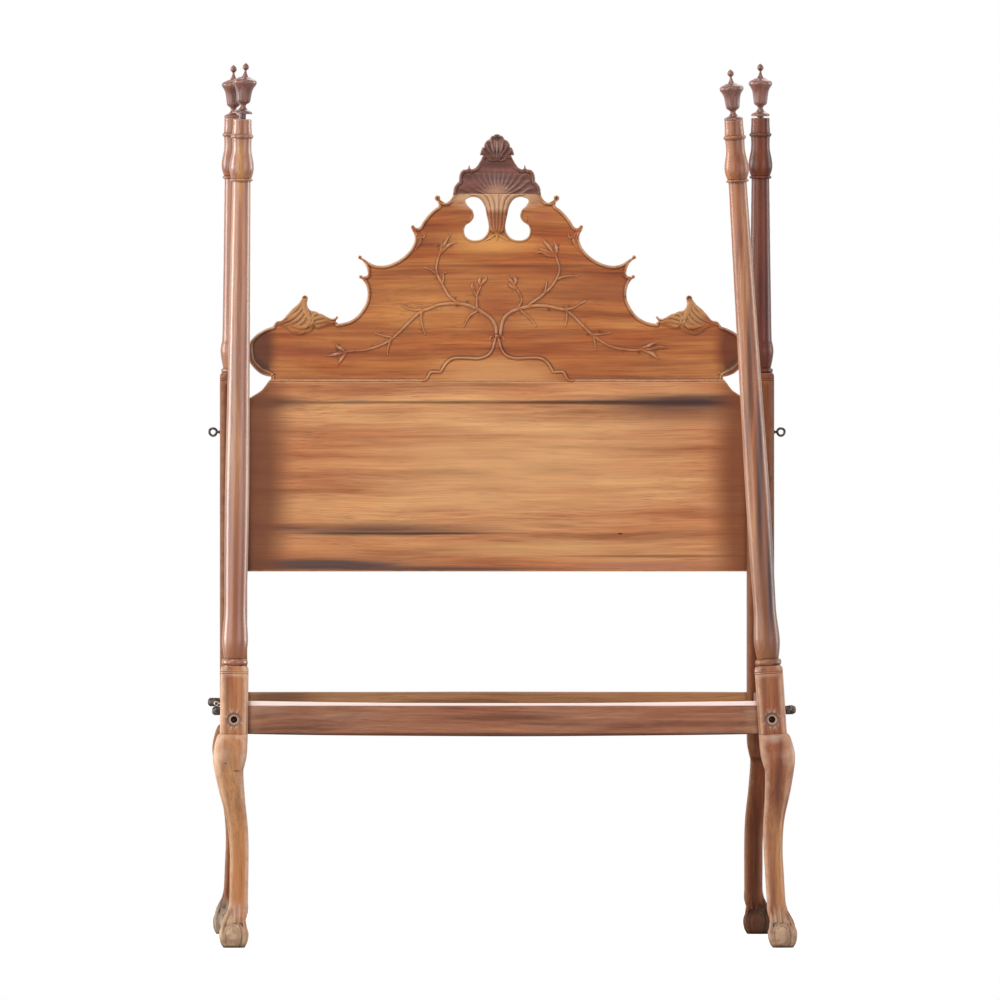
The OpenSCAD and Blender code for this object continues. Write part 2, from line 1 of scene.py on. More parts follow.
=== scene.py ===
"""Carved four-poster bedstead with claw and ball feet, lift-out urn finials and a pierced headboard.

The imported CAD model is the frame. Each visible part of it is remade here with its carving, turning and
old waxed hardwood, in the same place. Drawings are in millimetres and are scaled to metres when a piece
is set in place.
"""

from __future__ import annotations

import logging
from dataclasses import dataclass, field, replace
from enum import Enum
from math import atan2, ceil, cos, exp, hypot, pi, radians, sin, sqrt, tau
from typing import Callable, Iterable, Sequence

import bmesh
import bpy
import numpy as np
from mathutils import Matrix, Vector, geometry

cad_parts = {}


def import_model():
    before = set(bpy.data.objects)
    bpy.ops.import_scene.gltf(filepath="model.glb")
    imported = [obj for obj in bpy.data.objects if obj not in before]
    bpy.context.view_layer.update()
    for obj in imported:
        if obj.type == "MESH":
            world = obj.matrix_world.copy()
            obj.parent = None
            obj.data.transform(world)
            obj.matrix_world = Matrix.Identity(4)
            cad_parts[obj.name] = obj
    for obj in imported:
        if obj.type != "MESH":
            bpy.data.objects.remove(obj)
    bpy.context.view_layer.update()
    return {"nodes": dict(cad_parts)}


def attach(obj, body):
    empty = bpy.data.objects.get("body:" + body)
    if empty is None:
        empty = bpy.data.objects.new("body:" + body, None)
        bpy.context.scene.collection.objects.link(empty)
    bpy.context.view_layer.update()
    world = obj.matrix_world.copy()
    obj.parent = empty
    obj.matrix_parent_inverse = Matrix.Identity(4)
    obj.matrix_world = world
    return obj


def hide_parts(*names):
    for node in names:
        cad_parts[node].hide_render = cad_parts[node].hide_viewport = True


LOG = logging.getLogger("bedstead")
MM = 0.001
BODY = "bedstead"

Point = tuple[float, float]
Line = list[Point]
Triple = tuple[float, float, float]
Piece = bpy.types.Object
Tree = bpy.types.NodeTree
Socket = bpy.types.NodeSocket
Finishes = dict[str, bpy.types.Material]

# Sizes shared with the CAD model, in millimetres
POST_X = 635.0
POST_Y = 950.0
BOLT_Z = 539.0
CROSS_Z = 559.0
HALF_W = 33.0
BLOCK_BOTTOM = 505.0
FOOT_BLOCK_TOP = 665.0
HEAD_BLOCK_TOP = 1352.0
FOOT_POST_TOP = 1956.0
HEAD_POST_TOP = 1967.0
SEAM_Z = 1332.0
BOARD_FRONT = 936.0
BOARD_BACK = 964.0
# How far the rails reach into the posts
TENON = 8.0


# ---- Curves ----


def smooth(points: Sequence[Point], steps: int = 4, closed: bool = False) -> Line:
    """Give the smooth curve through some points.

    Args:
        points: The points that the curve passes through.
        steps: How many short lines run from one point to the next.
        closed: Whether the curve returns to its first point.

    Returns:
        The points of the curve.
    """
    count = len(points)
    out: Line = []
    for i in range(count if closed else count - 1):
        if closed:
            a, b, c, d = (points[(i + k) % count] for k in (-1, 0, 1, 2))
        else:
            a, b, c, d = (points[min(max(i + k, 0), count - 1)] for k in (-1, 0, 1, 2))
        for k in range(steps):
            t = k / steps
            out.append(tuple(
                b[j] + t * (c[j] - a[j]) / 2 + t * t * (2 * a[j] - 5 * b[j] + 4 * c[j] - d[j]) / 2
                + t ** 3 * (3 * b[j] - a[j] - 3 * c[j] + d[j]) / 2 for j in (0, 1)))
    if not closed:
        out.append(tuple(points[-1]))
    return out


def bead(z: float, height: float, radius: float, full_radius: float) -> Line:
    """Give the outline of a turned bead, [radius, height] from its lower end to its upper end."""
    angles = [radians(a) for a in range(-90, 91, 15)]
    return [(radius + (full_radius - radius) * cos(a), z + height / 2 * sin(a)) for a in angles]


def mirrored(points: Sequence[Point]) -> Line:
    """Give the left half of an outline from its right half, in reverse order."""
    return [(-x, z) for x, z in reversed(points) if x > 1e-6]


def both_halves(right: Sequence[Point]) -> Line:
    """Give a whole outline from its right half."""
    return list(right) + mirrored(right)


def left_of(start: Sequence[float], end: Sequence[float]) -> Point:
    """Give the direction to the left of the way from one point to another.

    Args:
        start: The first point.
        end: The other point.

    Returns:
        A unit vector.
    """
    x, z = end[0] - start[0], end[1] - start[1]
    length = hypot(x, z) or 1.0
    return -z / length, x / length


def even_steps(points: Sequence[Point], step: float, closed: bool = False) -> Line:
    """Put points at even distances along a line.

    Args:
        points: The line.
        step: The largest distance between two points.
        closed: Whether the line returns to its first point.

    Returns:
        The new points, with all the old ones kept.
    """
    out: Line = []
    ends = list(points) + ([points[0]] if closed else [])
    for (x0, z0), (x1, z1) in zip(ends, ends[1:]):
        parts = max(1, ceil(hypot(x1 - x0, z1 - z0) / step))
        out += [(x0 + (x1 - x0) * k / parts, z0 + (z1 - z0) * k / parts) for k in range(parts)]
    return out if closed else out + [tuple(points[-1])]


def at(table: Sequence[Point], z: float) -> float:
    """Read a value at a height from a table.

    Args:
        table: [value, height] pairs, which may run up or down.
        z: The height.

    Returns:
        The value, between those of the two nearest heights.
    """
    rows = sorted((h, v) for v, h in table)
    if z <= rows[0][0]:
        return rows[0][1]
    for (h0, v0), (h1, v1) in zip(rows, rows[1:]):
        if z <= h1:
            return v0 if h1 == h0 else v0 + (v1 - v0) * (z - h0) / (h1 - h0)
    return rows[-1][1]


# ---- Work at the bench ----


def deselect_all() -> None:
    """Leave edit mode and deselect everything, the CAD nodes too."""
    if bpy.context.mode != "OBJECT":
        bpy.ops.object.mode_set(mode="OBJECT")
    bpy.ops.object.select_all(action="DESELECT")


def take(obj: Piece) -> Piece:
    """Make one object the only selected one, and the active one.

    Args:
        obj: The object.

    Returns:
        The same object.
    """
    deselect_all()
    obj.select_set(True)
    bpy.context.view_layer.objects.active = obj
    return obj


def edit(obj: Piece, select: str = "SELECT") -> bmesh.types.BMesh:
    """Open a piece in edit mode.

    Args:
        obj: The piece.
        select: What happens to its selection, SELECT or DESELECT.

    Returns:
        The mesh that is being edited.
    """
    take(obj)
    bpy.ops.object.mode_set(mode="EDIT")
    bpy.ops.mesh.select_all(action=select)
    return bmesh.from_edit_mesh(obj.data)


def close_edit(merge: float = 0.0) -> None:
    """Turn all faces outwards and leave edit mode.

    Args:
        merge: Distance under which points are merged first, or 0 for none.
    """
    bpy.ops.mesh.select_all(action="SELECT")
    if merge:
        bpy.ops.mesh.remove_doubles(threshold=merge)
    bpy.ops.mesh.normals_make_consistent(inside=False)
    bpy.ops.object.mode_set(mode="OBJECT")


def modify(obj: Piece, kind: str, **settings: object) -> None:
    """Add a modifier and apply it.

    Args:
        obj: The piece.
        kind: The modifier's type.
        **settings: Its settings.
    """
    take(obj)
    modifier = obj.modifiers.new(kind.lower(), kind)
    for key, value in settings.items():
        setattr(modifier, key, value)
    bpy.ops.object.modifier_apply(modifier=modifier.name)


def ease(obj: Piece, width: float, segments: int = 2, degrees: float = 50.0) -> None:
    """Round a piece's edges that are sharper than an angle."""
    modify(obj, "BEVEL", width=width, segments=segments, limit_method="ANGLE", angle_limit=radians(degrees))


def combine(obj: Piece, other: Piece, operation: str) -> None:
    """Join another solid to a piece, or cut it away, and remove the other solid."""
    modify(obj, "BOOLEAN", object=other, operation=operation, solver="EXACT")
    bpy.data.objects.remove(other)


def copy_of(obj: Piece, name: str) -> Piece:
    """Copy a piece with its own mesh.

    Args:
        obj: The piece.
        name: The copy's name.

    Returns:
        The copy.
    """
    twin = obj.copy()
    twin.data = obj.data.copy()
    twin.name = twin.data.name = name
    bpy.context.collection.objects.link(twin)
    return twin


def new_object(name: str, data: bpy.types.ID) -> Piece:
    """Put a mesh, a curve, a light or a camera into the scene.

    Args:
        name: The new object's name.
        data: What it holds.

    Returns:
        The object.
    """
    obj = bpy.data.objects.new(name, data)
    bpy.context.collection.objects.link(obj)
    return obj


def turned(place_at: Sequence[float], degrees: float, axis: str) -> Matrix:
    """Give the matrix that turns a piece about an axis and then moves it to its place."""
    return Matrix.Translation(place_at) @ Matrix.Rotation(radians(degrees), 4, axis)


def place(obj: Piece, matrix: Matrix) -> None:
    """Set a piece where it belongs by moving its mesh, so that its object stays at the origin.

    Args:
        obj: The piece.
        matrix: The move, with its turn and scale.
    """
    take(obj)
    bpy.ops.object.transform_apply(location=True, rotation=True, scale=True)
    obj.data.transform(matrix)
    if matrix.determinant() < 0:
        obj.data.flip_normals()
    obj.data.update()


def smooth_shading(obj: Piece, degrees: float = 35.0) -> None:
    """Shade a piece smooth and keep its sharp edges."""
    take(obj)
    bpy.ops.object.shade_smooth_by_angle(angle=radians(degrees))


def cube(centre: Sequence[float], size: Sequence[float] = (1, 1, 1), name: str = "cube") -> Piece:
    """Add a block.

    Args:
        centre: Its middle.
        size: Its length, depth and height.
        name: Its name.

    Returns:
        The block, with its place in its mesh.
    """
    deselect_all()
    bpy.ops.mesh.primitive_cube_add(size=1, location=centre, scale=size)
    bpy.ops.object.transform_apply(location=True, rotation=True, scale=True)
    obj = bpy.context.object
    obj.name = obj.data.name = name
    return obj


def divide(obj: Piece, axis: int, cuts: int) -> bmesh.types.BMesh:
    """Cut the edges that run along an axis, and leave the piece open in edit mode.

    Args:
        obj: The piece.
        axis: The axis.
        cuts: How many cuts each edge gets.

    Returns:
        The mesh that is being edited.
    """
    shape = edit(obj, "DESELECT")
    for e in shape.edges:
        e.select = abs(e.verts[0].co[axis] - e.verts[1].co[axis]) > 0.5
    bmesh.update_edit_mesh(obj.data)
    bpy.ops.mesh.subdivide(number_cuts=cuts)
    return bmesh.from_edit_mesh(obj.data)


def turn(name: str, outline: Sequence[Point], steps: int = 72) -> Piece:
    """Turn a piece on the lathe: one vertex is extruded along the outline and spun round Z.

    Args:
        name: The piece's name.
        outline: [radius, height] points, from the lower end to the upper end.
        steps: How many steps go round.

    Returns:
        The closed piece, in millimetres.
    """
    deselect_all()
    bpy.ops.mesh.primitive_plane_add(size=1, location=(0, 0, 0))
    obj = bpy.context.object
    obj.name = obj.data.name = name
    edit(obj)
    bpy.ops.mesh.merge(type="CENTER")
    bpy.ops.transform.translate(value=(outline[0][0], 0, outline[0][1]))
    for (r0, z0), (r1, z1) in zip(outline, outline[1:]):
        bpy.ops.mesh.extrude_region_move(TRANSFORM_OT_translate={"value": (r1 - r0, 0, z1 - z0)})
    bpy.ops.mesh.select_all(action="SELECT")
    bpy.ops.mesh.spin(steps=steps, angle=tau, center=(0, 0, 0), axis=(0, 0, 1))
    close_edit(merge=1e-3)
    return obj


def loft(name: str, sides: int, stations: Sequence[float],
        section: Callable[[float], Sequence[Point]]) -> Piece:
    """Shape a cylinder to a section that changes with its height.

    Args:
        name: The piece's name.
        sides: How many points each section has.
        stations: The heights of the sections, in rising order.
        section: Gives the points of the section at a height.

    Returns:
        The closed piece, in millimetres.
    """
    deselect_all()
    bpy.ops.mesh.primitive_cylinder_add(vertices=sides, radius=1, depth=1, location=(0, 0, 0.5))
    obj = bpy.context.object
    obj.name = obj.data.name = name
    bpy.ops.object.transform_apply(location=True, rotation=True, scale=True)
    shape = divide(obj, 2, len(stations) - 2)
    rings = [section(z) for z in stations]
    for v in shape.verts:
        k = round(atan2(v.co.y, v.co.x) / tau * sides) % sides
        j = round(v.co.z * (len(stations) - 1))
        v.co = (*rings[j][k], stations[j])
    bmesh.update_edit_mesh(obj.data)
    close_edit()
    return obj


def tube(name: str, path: Sequence[Sequence[float]], radii: Sequence[float], sides: int = 12) -> Piece:
    """Make a round tube along a path, with its own radius at each point.

    Args:
        name: The piece's name.
        path: Points in millimetres.
        radii: The radius at each point.
        sides: How many sides the tube has, in steps of four.

    Returns:
        The tube as a closed mesh.
    """
    curve = bpy.data.curves.new(name, "CURVE")
    curve.dimensions = "3D"
    curve.bevel_depth = 1.0
    curve.bevel_resolution = sides // 4
    curve.use_fill_caps = True
    spline = curve.splines.new("NURBS")
    spline.points.add(len(path) - 1)
    for point, position, radius in zip(spline.points, path, radii):
        point.co = (*position, 1.0)
        point.radius = radius
    spline.use_endpoint_u = True
    spline.order_u = 4
    spline.resolution_u = 6
    obj = take(new_object(name, curve))
    bpy.ops.object.convert(target="MESH")
    edit(obj)
    close_edit(merge=1e-4)
    return obj


def relief_for_rubbing_and_shading(obj: Piece, full_mm: float = 0.9, rounds: int = 4) -> None:
    """Work out where a piece stands out, which is rubbed pale and painted with highlight, and where it is
    sunk, which holds dirt and painted shade, and keep it as its wear attribute.

    Args:
        obj: The piece, in metres.
        full_mm: How far a point stands over its surroundings where it is fully rubbed and painted with
            highlight.
        rounds: How wide the surroundings are.
    """
    mesh = obj.data
    count = len(mesh.vertices)
    places, normals = np.empty(count * 3), np.empty(count * 3)
    ends = np.empty(len(mesh.edges) * 2, dtype=np.int32)
    mesh.vertices.foreach_get("co", places)
    mesh.vertices.foreach_get("normal", normals)
    mesh.edges.foreach_get("vertices", ends)
    places, normals = places.reshape(-1, 3), normals.reshape(-1, 3)
    a, b = ends[0::2], ends[1::2]
    share = np.maximum(np.bincount(ends, minlength=count), 1)
    flat = places.copy()
    for _ in range(rounds):
        around = [np.bincount(a, flat[b, k], count) + np.bincount(b, flat[a, k], count) for k in range(3)]
        flat = (flat + np.stack(around, axis=1) / share[:, None]) / 2
    relief = ((places - flat) * normals).sum(axis=1) / (full_mm * MM)
    wear = mesh.attributes.new("wear", "FLOAT", "POINT")
    wear.data.foreach_set("value", np.clip(relief, -1, 1).astype(np.float32))


def join(pieces: Sequence[Piece], name: str) -> Piece:
    """Join pieces into one object.

    Args:
        pieces: The pieces.
        name: The name of the whole.

    Returns:
        The whole.
    """
    take(pieces[0])
    for piece in pieces:
        piece.select_set(True)
    bpy.ops.object.join()
    obj = bpy.context.object
    obj.name = obj.data.name = name
    return obj


# ---- Finishes ----


def to_linear(hex_colour: str) -> tuple[float, float, float, float]:
    """Turn an sRGB hex colour to linear RGBA."""
    parts = [int(hex_colour.lstrip("#")[i:i + 2], 16) / 255 for i in (0, 2, 4)]
    return (*(c / 12.92 if c <= 0.04045 else ((c + 0.055) / 1.055) ** 2.4 for c in parts), 1.0)


def add(tree: Tree, kind: str, inputs: dict | None = None, stops: Sequence[tuple[float, object]] = (),
        **settings: object) -> bpy.types.Node:
    """Add a node with its settings, values and links.

    Args:
        tree: The node tree.
        kind: The node's type, without the words ShaderNode before it.
        inputs: A value or an output socket for each input, by name or number.
        stops: The positions and colours of a colour ramp.
        **settings: The node's own settings.

    Returns:
        The node.
    """
    new = tree.nodes.new("ShaderNode" + kind)
    for key, value in settings.items():
        setattr(new, key, value)
    for key, value in (inputs or {}).items():
        if isinstance(value, Socket):
            tree.links.new(value, new.inputs[key])
        else:
            new.inputs[key].default_value = value
    if stops:
        ramp = new.color_ramp
        while len(ramp.elements) < len(stops):
            ramp.elements.new(0.5)
        for element, (position, colour) in zip(ramp.elements, stops):
            element.position = position
            element.color = colour if isinstance(colour, tuple) else (colour, colour, colour, 1.0)
    return new


def fresh_tree(owner: bpy.types.ID) -> Tree:
    """Give a material or a world an empty node tree.

    Args:
        owner: The material or the world.

    Returns:
        Its tree.
    """
    owner.use_nodes = True
    owner.node_tree.nodes.clear()
    return owner.node_tree


class Grain(Enum):
    """The direction that a piece's grain runs in."""

    ALONG_X = (1.0, 0.0, 0.0)
    ALONG_Y = (0.0, 1.0, 0.0)
    ALONG_Z = (0.0, 0.0, 1.0)

    def stretched(self, share: float) -> Triple:
        """Give the scale that stretches a pattern along the grain, by 1 / share."""
        return tuple(share if axis else 1.0 for axis in self.value)


class Broken(Enum):
    """What breaks a mark up."""

    NOT = "none"
    GRAIN = "fine streaks along the grain"
    PATCHES = "round patches"


@dataclass(frozen=True)
class Mark:
    """A stain, streak, faded or rubbed place, or a painted shadow or painted highlight, as an ellipsoid in
    metres.

    Args:
        centre: Its middle.
        size: Its half lengths.
        colour: Its sRGB hex colour.
        strength: How far it covers the wood, from 0 to 1.
        ragged: How much its edge follows the grain.
        inner: Share of its size at which it starts to fade out.
        broken: What breaks it up.
    """

    centre: Triple
    size: Triple
    colour: str
    strength: float = 0.6
    ragged: float = 0.5
    inner: float = 0.4
    broken: Broken = Broken.NOT


def marks_on(y: float, depth: float, *rows: tuple) -> tuple[Mark, ...]:
    """Give the marks on one face of the bed.

    Args:
        y: Where the face stands.
        depth: How far the marks reach into the wood.
        *rows: x, z, half width and half height of each mark, then its colour and what follows it in a Mark.

    Returns:
        The marks.
    """
    return tuple(Mark((x, y, z), (width, depth, height), *rest) for x, z, width, height, *rest in rows)


@dataclass(frozen=True)
class WaxedHardwood:
    """Old tropical hardwood, sawn or turned, oiled and waxed by hand for two centuries.

    It gives the eye long light and dark bands along the grain with fine pore lines, a soft sheen that
    breaks over the pores, dirt and painted shade in the corners, and paler rubbed edges with painted
    highlights.

    Args:
        name: The material's name.
        light: The pale bands.
        mid: The main colour.
        dark: The dark bands.
        streak: The near-black heart streaks.
        grain: The direction of the grain.
        figure_mm: Width of the light and dark bands.
        streak_from: Noise level over which a heart streak shows, 0 to 1. Higher gives fewer.
        roughness: Middle roughness of the waxed surface.
        coat: Weight of the wax film.
        worn: Colour of the rubbed edges, which also serves as their painted highlight.
        wear: How strongly the rubbed edges and their painted highlights show.
        grime_and_shade: How dark the corners are, with dirt and painted shade.
        marks: Stains, rubbed places, painted shadows and painted highlights.
        shift: Moves the pattern, so that two finishes don't show the same bands.
        sheen: How much light the bare surface throws back.
        film: Refractive index of the wax film.
        flush: The tint of the redder patches, laid over the wood.
    """

    name: str
    light: str
    mid: str
    dark: str
    streak: str
    grain: Grain
    figure_mm: float = 26.0
    streak_from: float = 0.68
    roughness: float = 0.42
    coat: float = 0.12
    worn: str = "#D9A878"
    wear: float = 0.5
    grime_and_shade: float = 0.6
    marks: tuple[Mark, ...] = ()
    shift: float = 0.0
    sheen: float = 0.25
    film: float = 1.5
    flush: str = "#F0DAD2"

    def material(self) -> bpy.types.Material:
        """Build the material's nodes.

        Returns:
            The material.
        """
        material = bpy.data.materials.new(self.name)
        tree = fresh_tree(material)
        place_in = add(tree, "TexCoord").outputs["Object"]

        # slow wander of the grain, about 12 mm over 300 mm
        wander = add(tree, "TexNoise", {"Vector": place_in, "Scale": 3.2, "Detail": 1.0})
        bent = add(tree, "VectorMath", {0: wander.outputs["Color"], 1: (0.024, 0.024, 0.024)},
            operation="MULTIPLY")
        bent = add(tree, "VectorMath", {0: place_in, 1: bent.outputs[0]}, operation="ADD")

        def layer(size_mm: float, share: float, detail: float, offset: float) -> Socket:
            """Give a noise that is stretched along the grain.

            Args:
                size_mm: Its width across the grain.
                share: That width divided by its length.
                detail: How many finer steps lie in it.
                offset: What moves it away from the other layers.

            Returns:
                Its value.
            """
            mapping = add(tree, "Mapping", {
                "Vector": bent.outputs[0], "Scale": self.grain.stretched(share),
                "Location": (self.shift + offset, self.shift * 1.7 - offset, self.shift * 0.6 + offset)})
            return add(tree, "TexNoise", {
                "Vector": mapping.outputs[0], "Scale": 1000.0 / size_mm, "Detail": detail,
                "Roughness": 0.6}).outputs["Fac"]

        figure = layer(self.figure_mm, 0.055, 4.0, 0.0)
        colour = add(tree, "ValToRGB", {"Fac": figure},
            stops=[(0.28, to_linear(self.dark)), (0.47, to_linear(self.mid)),
            (0.72, to_linear(self.light))]).outputs[0]

        # redder patches, some 90 mm wide and 400 mm long
        patches = layer(90.0, 0.22, 2.0, 9.1)
        patches = add(tree, "MapRange", {"Value": patches, "From Min": 0.38, "From Max": 0.6}).outputs[0]
        tint = add(tree, "Mix", {0: patches, 6: (1.0, 1.0, 1.0, 1.0), 7: to_linear(self.flush)},
            data_type="RGBA").outputs[2]
        colour = add(tree, "VectorMath", {0: colour, 1: tint}, operation="MULTIPLY").outputs[0]

        # near-black heart streaks, long and thin
        heart = layer(self.figure_mm * 0.8, 0.03, 3.0, 5.3)
        heart = add(tree, "MapRange", {"Value": heart, "From Min": self.streak_from,
            "From Max": self.streak_from + 0.09}).outputs[0]
        colour = add(tree, "Mix", {0: heart, 6: colour, 7: to_linear(self.streak)},
            data_type="RGBA").outputs[2]

        # growth lines, drawn 4 mm wide as the real ones are too fine to show at this distance
        lines = layer(4.0, 0.01, 4.0, 2.1)
        tone = add(tree, "MapRange", {"Value": lines, "From Min": 0.3, "From Max": 0.7, "To Min": 0.8,
            "To Max": 1.16}).outputs[0]
        colour = add(tree, "VectorMath", {0: colour, 1: tone}, operation="MULTIPLY").outputs[0]

        # open pores, 1.6 mm wide and some 80 mm long
        pores = layer(1.6, 0.02, 1.0, 7.7)
        pores = add(tree, "MapRange", {"Value": pores, "From Min": 0.58, "From Max": 0.72,
            "To Max": 0.36}).outputs[0]
        colour = add(tree, "Mix", {0: pores, 6: colour, 7: to_linear(self.streak)},
            data_type="RGBA").outputs[2]

        # patches some 20 mm wide break up marks, the rubbed and highlighted edges, and gloss
        patchy = add(tree, "TexNoise", {"Vector": place_in, "Scale": 45.0, "Detail": 3.0}).outputs["Fac"]
        streaks = layer(9.0, 0.02, 3.0, 3.9)
        for mark in self.marks:
            colour = self._marked(tree, place_in, figure,
                {Broken.NOT: None, Broken.GRAIN: streaks, Broken.PATCHES: patchy}[mark.broken], colour, mark)

        # edges and raised carving rubbed pale and painted with highlights; hollows dark with old wax and dust
        # and with painted shade
        wear = add(tree, "Attribute", attribute_name="wear").outputs["Fac"]
        edge = add(tree, "MapRange", {"Value": wear, "From Min": 0.3, "From Max": 0.9,
            "To Max": self.wear}).outputs[0]
        patch = add(tree, "MapRange", {"Value": patchy, "From Min": 0.3, "From Max": 0.6,
            "To Min": 0.35}).outputs[0]
        edge = add(tree, "Math", {0: edge, 1: patch}, operation="MULTIPLY").outputs[0]
        # pale edge colour: partly real rubbing, partly painted highlight
        colour = add(tree, "Mix", {0: edge, 6: colour, 7: to_linear(self.worn)}, data_type="RGBA").outputs[2]
        # dirt and painted shade in the hollows of the relief
        hollow = add(tree, "MapRange",
            {"Value": wear, "From Min": -0.1, "From Max": -0.7, "To Max": self.grime_and_shade}).outputs[0]
        # painted shade: ambient occlusion darkens corners and creases
        shade = add(tree, "AmbientOcclusion", {"Distance": 0.012}, samples=8).outputs["AO"]
        shade = add(tree, "MapRange", {"Value": shade, "From Min": 0.25, "From Max": 0.85,
            "To Min": self.grime_and_shade, "To Max": 0.0}).outputs[0]
        shade = add(tree, "Math", {0: shade, 1: hollow}, operation="MAXIMUM").outputs[0]
        colour = add(tree, "Mix", {0: shade, 6: colour, 7: to_linear("#2B1A12")}, data_type="RGBA").outputs[2]

        gloss = add(tree, "MapRange", {"Value": patchy, "From Min": 0.3, "From Max": 0.7,
            "To Min": self.roughness - 0.05, "To Max": self.roughness + 0.08}).outputs[0]
        relief = add(tree, "Math", {0: lines, 1: pores}, operation="SUBTRACT").outputs[0]
        bump = add(tree, "Bump", {"Height": relief, "Strength": 0.12, "Distance": 0.0005})
        shader = add(tree, "BsdfPrincipled",
            {"Base Color": colour, "Roughness": gloss, "IOR": 1.45, "Specular IOR Level": self.sheen,
            "Normal": bump.outputs[0], "Coat Weight": self.coat, "Coat Roughness": 0.28,
            "Coat IOR": self.film})
        add(tree, "OutputMaterial", {"Surface": shader.outputs[0]})
        return material

    def _marked(self, tree: Tree, place_in: Socket, figure: Socket,
                breaks: Socket | None, colour: Socket,
                mark: Mark) -> Socket:
        """Lay one mark over the colour, with an edge that follows the grain.

        Args:
            tree: The node tree.
            place_in: The place on the piece.
            figure: The pattern that makes the mark's edge ragged.
            breaks: The pattern that breaks the mark up, if any.
            colour: The colour under it.
            mark: The mark.

        Returns:
            The new colour.
        """
        local = add(tree, "Mapping", {
            "Vector": place_in, "Scale": tuple(1 / s for s in mark.size),
            "Location": tuple(-c / s for c, s in zip(mark.centre, mark.size))})
        reach = add(tree, "VectorMath", {0: local.outputs[0]}, operation="LENGTH").outputs["Value"]
        ragged = add(tree, "Math", {0: figure, 1: -2.0 * mark.ragged, 2: mark.ragged},
            operation="MULTIPLY_ADD").outputs[0]
        reach = add(tree, "Math", {0: reach, 1: ragged}, operation="ADD").outputs[0]
        cover = add(tree, "MapRange", {
            "Value": reach, "From Min": mark.inner, "From Max": 1.0, "To Min": mark.strength, "To Max": 0.0},
            interpolation_type="SMOOTHSTEP").outputs[0]
        if breaks is not None:
            share = add(tree, "MapRange", {"Value": breaks, "From Min": 0.42, "From Max": 0.58},
                interpolation_type="SMOOTHSTEP").outputs[0]
            cover = add(tree, "Math", {0: cover, 1: share}, operation="MULTIPLY").outputs[0]
        return add(tree, "Mix", {0: cover, 6: colour, 7: to_linear(mark.colour)}, data_type="RGBA").outputs[2]


@dataclass(frozen=True)
class ForgedIron:
    """Wrought iron, forged by hand and left to oxidise under old wax.

    It gives the eye a dull brown-black skin with grey rubbed places and hammered unevenness.

    Args:
        name: The material's name.
        skin: The dark skin.
        rubbed: The grey rubbed places.
        roughness: Its middle roughness.
        rubbed_from: Noise level over which the metal is rubbed bare.
    """

    name: str
    skin: str
    rubbed: str
    roughness: float = 0.55
    rubbed_from: float = 0.5

    def material(self) -> bpy.types.Material:
        """Build the material's nodes.

        Returns:
            The material.
        """
        material = bpy.data.materials.new(self.name)
        tree = fresh_tree(material)
        place_in = add(tree, "TexCoord").outputs["Object"]
        # hammer marks about 7 mm wide, rust specks about 1.5 mm
        hammer = add(tree, "TexNoise", {"Vector": place_in, "Scale": 140.0, "Detail": 2.0}).outputs["Fac"]
        specks = add(tree, "TexNoise", {"Vector": place_in, "Scale": 650.0, "Detail": 2.0}).outputs["Fac"]
        bare = add(tree, "MapRange", {"Value": hammer, "From Min": self.rubbed_from - 0.08,
            "From Max": self.rubbed_from + 0.12}).outputs[0]
        colour = add(tree, "Mix", {0: bare, 6: to_linear(self.skin), 7: to_linear(self.rubbed)},
            data_type="RGBA").outputs[2]
        rust = add(tree, "MapRange", {"Value": specks, "From Min": 0.58, "From Max": 0.7,
            "To Max": 0.5}).outputs[0]
        colour = add(tree, "Mix", {0: rust, 6: colour, 7: to_linear("#4A2C1C")}, data_type="RGBA").outputs[2]
        gloss = add(tree, "MapRange", {"Value": specks, "To Min": self.roughness - 0.1,
            "To Max": self.roughness + 0.12}).outputs[0]
        height = add(tree, "Math", {0: hammer, 1: specks}, operation="ADD").outputs[0]
        bump = add(tree, "Bump", {"Height": height, "Strength": 0.6, "Distance": 0.0008})
        shader = add(tree, "BsdfPrincipled",
            {"Base Color": colour, "Roughness": gloss, "Metallic": 0.75, "Normal": bump.outputs[0]})
        add(tree, "OutputMaterial", {"Surface": shader.outputs[0]})
        return material


def hand_over(obj: Piece, material: bpy.types.Material, slot: str, *nodes: str, body: str = BODY,
        relief_full_mm: float = 0.9) -> Piece:
    """Give a finished piece its material and body, and hide the CAD nodes that it stands for.

    Args:
        obj: The piece, at its place.
        material: Its finish.
        slot: The record's material slot. Not used.
        *nodes: The CAD nodes that it replaces.
        body: The body that it rides on.
        relief_full_mm: How far a point stands over its surroundings where it is fully rubbed and painted with
            highlight.

    Returns:
        The piece.
    """
    relief_for_rubbing_and_shading(obj, relief_full_mm)
    obj.data.materials.clear()
    obj.data.materials.append(material)
    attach(obj, body)
    if nodes:
        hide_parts(*nodes)
    obj.data.calc_loop_triangles()
    LOG.info("%s: %d triangles, rides on %s, replaces %s", obj.name, len(obj.data.loop_triangles), body,
        ", ".join(nodes) or "nothing")
    return obj


